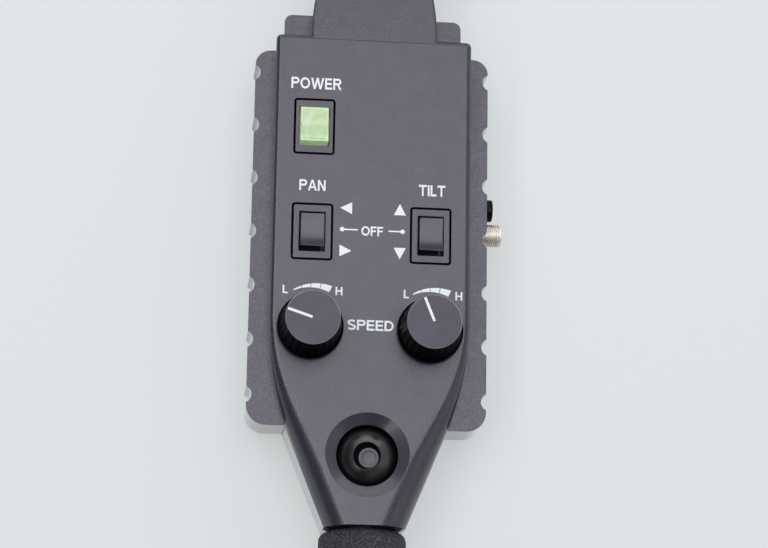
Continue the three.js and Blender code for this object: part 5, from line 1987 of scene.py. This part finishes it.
@dataclass(frozen=True)
class Lamp:
    """One soft light: where it stands, what it looks at, its size and its power."""

    name: str
    place: tuple[float, float, float]
    target: tuple[float, float, float]
    size: tuple[float, float]
    watts: float
    colour: Colour = (255, 255, 255)

    def build(self) -> None:
        """Adds the light to the scene."""
        data = bpy.data.lights.new(self.name, "AREA")
        data.shape = "RECTANGLE"
        data.size, data.size_y = self.size
        data.energy = self.watts
        data.color = linear(self.colour)[:3]
        light = link(self.name, data)
        light.location = self.place
        way = Vector(self.target) - Vector(self.place)
        light.rotation_mode = "QUATERNION"
        light.rotation_quaternion = way.to_track_quat("-Z", "Y")


LAMPS = (
    Lamp("ceiling", (-0.04, 0.17, 1.5), (-0.04, 0.17, 0), (1.3, 1.43), 14.9, (247, 245, 255)),
    Lamp("window", (0.1, 1.45, 0.82), (0, 0, 0), (2.6, 0.76), 12.0),
    Lamp("doors", (1.35, 0.3, 0.8), (0, 0, 0), (2.4, 1.5), 6.5),
    Lamp("room", (0.8, -1.0, 0.85), (0, 0, 0), (1.8, 0.8), 1.2),
    Lamp("key", (-0.9, 0.0, 1.5), (0, 0, 0), (2.6, 0.3), 10.0),
)


class Stage:
    """The camera at the photograph's angle, the pale table, the lamps and the world."""

    camera_place = (-80.61 * MM, -246.30 * MM, 919.04 * MM)
    camera_turn = (0.2551825, -0.0930619, 0.0397472)
    lens = 119.70
    sensor = 36.0
    table_half = 6.0
    table_drop = 0.15 * MM
    world_colour = (244, 247, 250)
    world_strength = 0.09

    def __init__(self, palette: Palette) -> None:
        """Keeps the palette."""
        self.palette = palette

    def build_camera(self) -> None:
        """Adds the camera."""
        data = bpy.data.cameras.new("camera")
        data.sensor_width = self.sensor
        data.lens = self.lens
        data.clip_start = 0.01
        data.clip_end = 20
        camera = link("camera", data)
        camera.location = self.camera_place
        camera.rotation_mode = "ZYX"
        camera.rotation_euler = self.camera_turn
        bpy.context.scene.camera = camera

    def build_table(self) -> None:
        """Adds the table."""
        bpy.ops.object.select_all(action="DESELECT")
        bpy.ops.mesh.primitive_plane_add(
            size=self.table_half * 2, location=(0, 0, -self.table_drop)
        )
        table = bpy.context.active_object
        table.name = "table"
        apply_place(table)
        table.data.materials.append(self.palette.get("table"))

    def build_world(self) -> None:
        """Adds the even light of the room."""
        world = bpy.data.worlds.new("room")
        world.use_nodes = True
        shader = world.node_tree.nodes["Background"]
        shader.inputs["Color"].default_value = linear(self.world_colour)
        shader.inputs["Strength"].default_value = self.world_strength
        bpy.context.scene.world = world

    def build(self) -> None:
        """Builds the stage."""
        bpy.context.scene.view_settings.view_transform = "Standard"
        self.build_camera()
        self.build_table()
        self.build_world()
        for lamp in LAMPS:
            lamp.build()


def main() -> None:
    """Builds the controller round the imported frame."""
    logging.basicConfig(level=logging.INFO, format="%(name)s: %(message)s")
    for thing in list(bpy.data.objects):
        bpy.data.objects.remove(thing, do_unlink=True)
    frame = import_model()
    palette = Palette()
    Stage(palette).build()
    for assembly in (Housing, Shells, Prints, Switches, SpeedKnobs, Joystick, Sockets, Grip, Clamp):
        assembly(frame, palette).build()
        log.info("%s is done", assembly.__name__)
    bpy.ops.object.select_all(action="DESELECT")


if __name__ == "__main__":
    main()
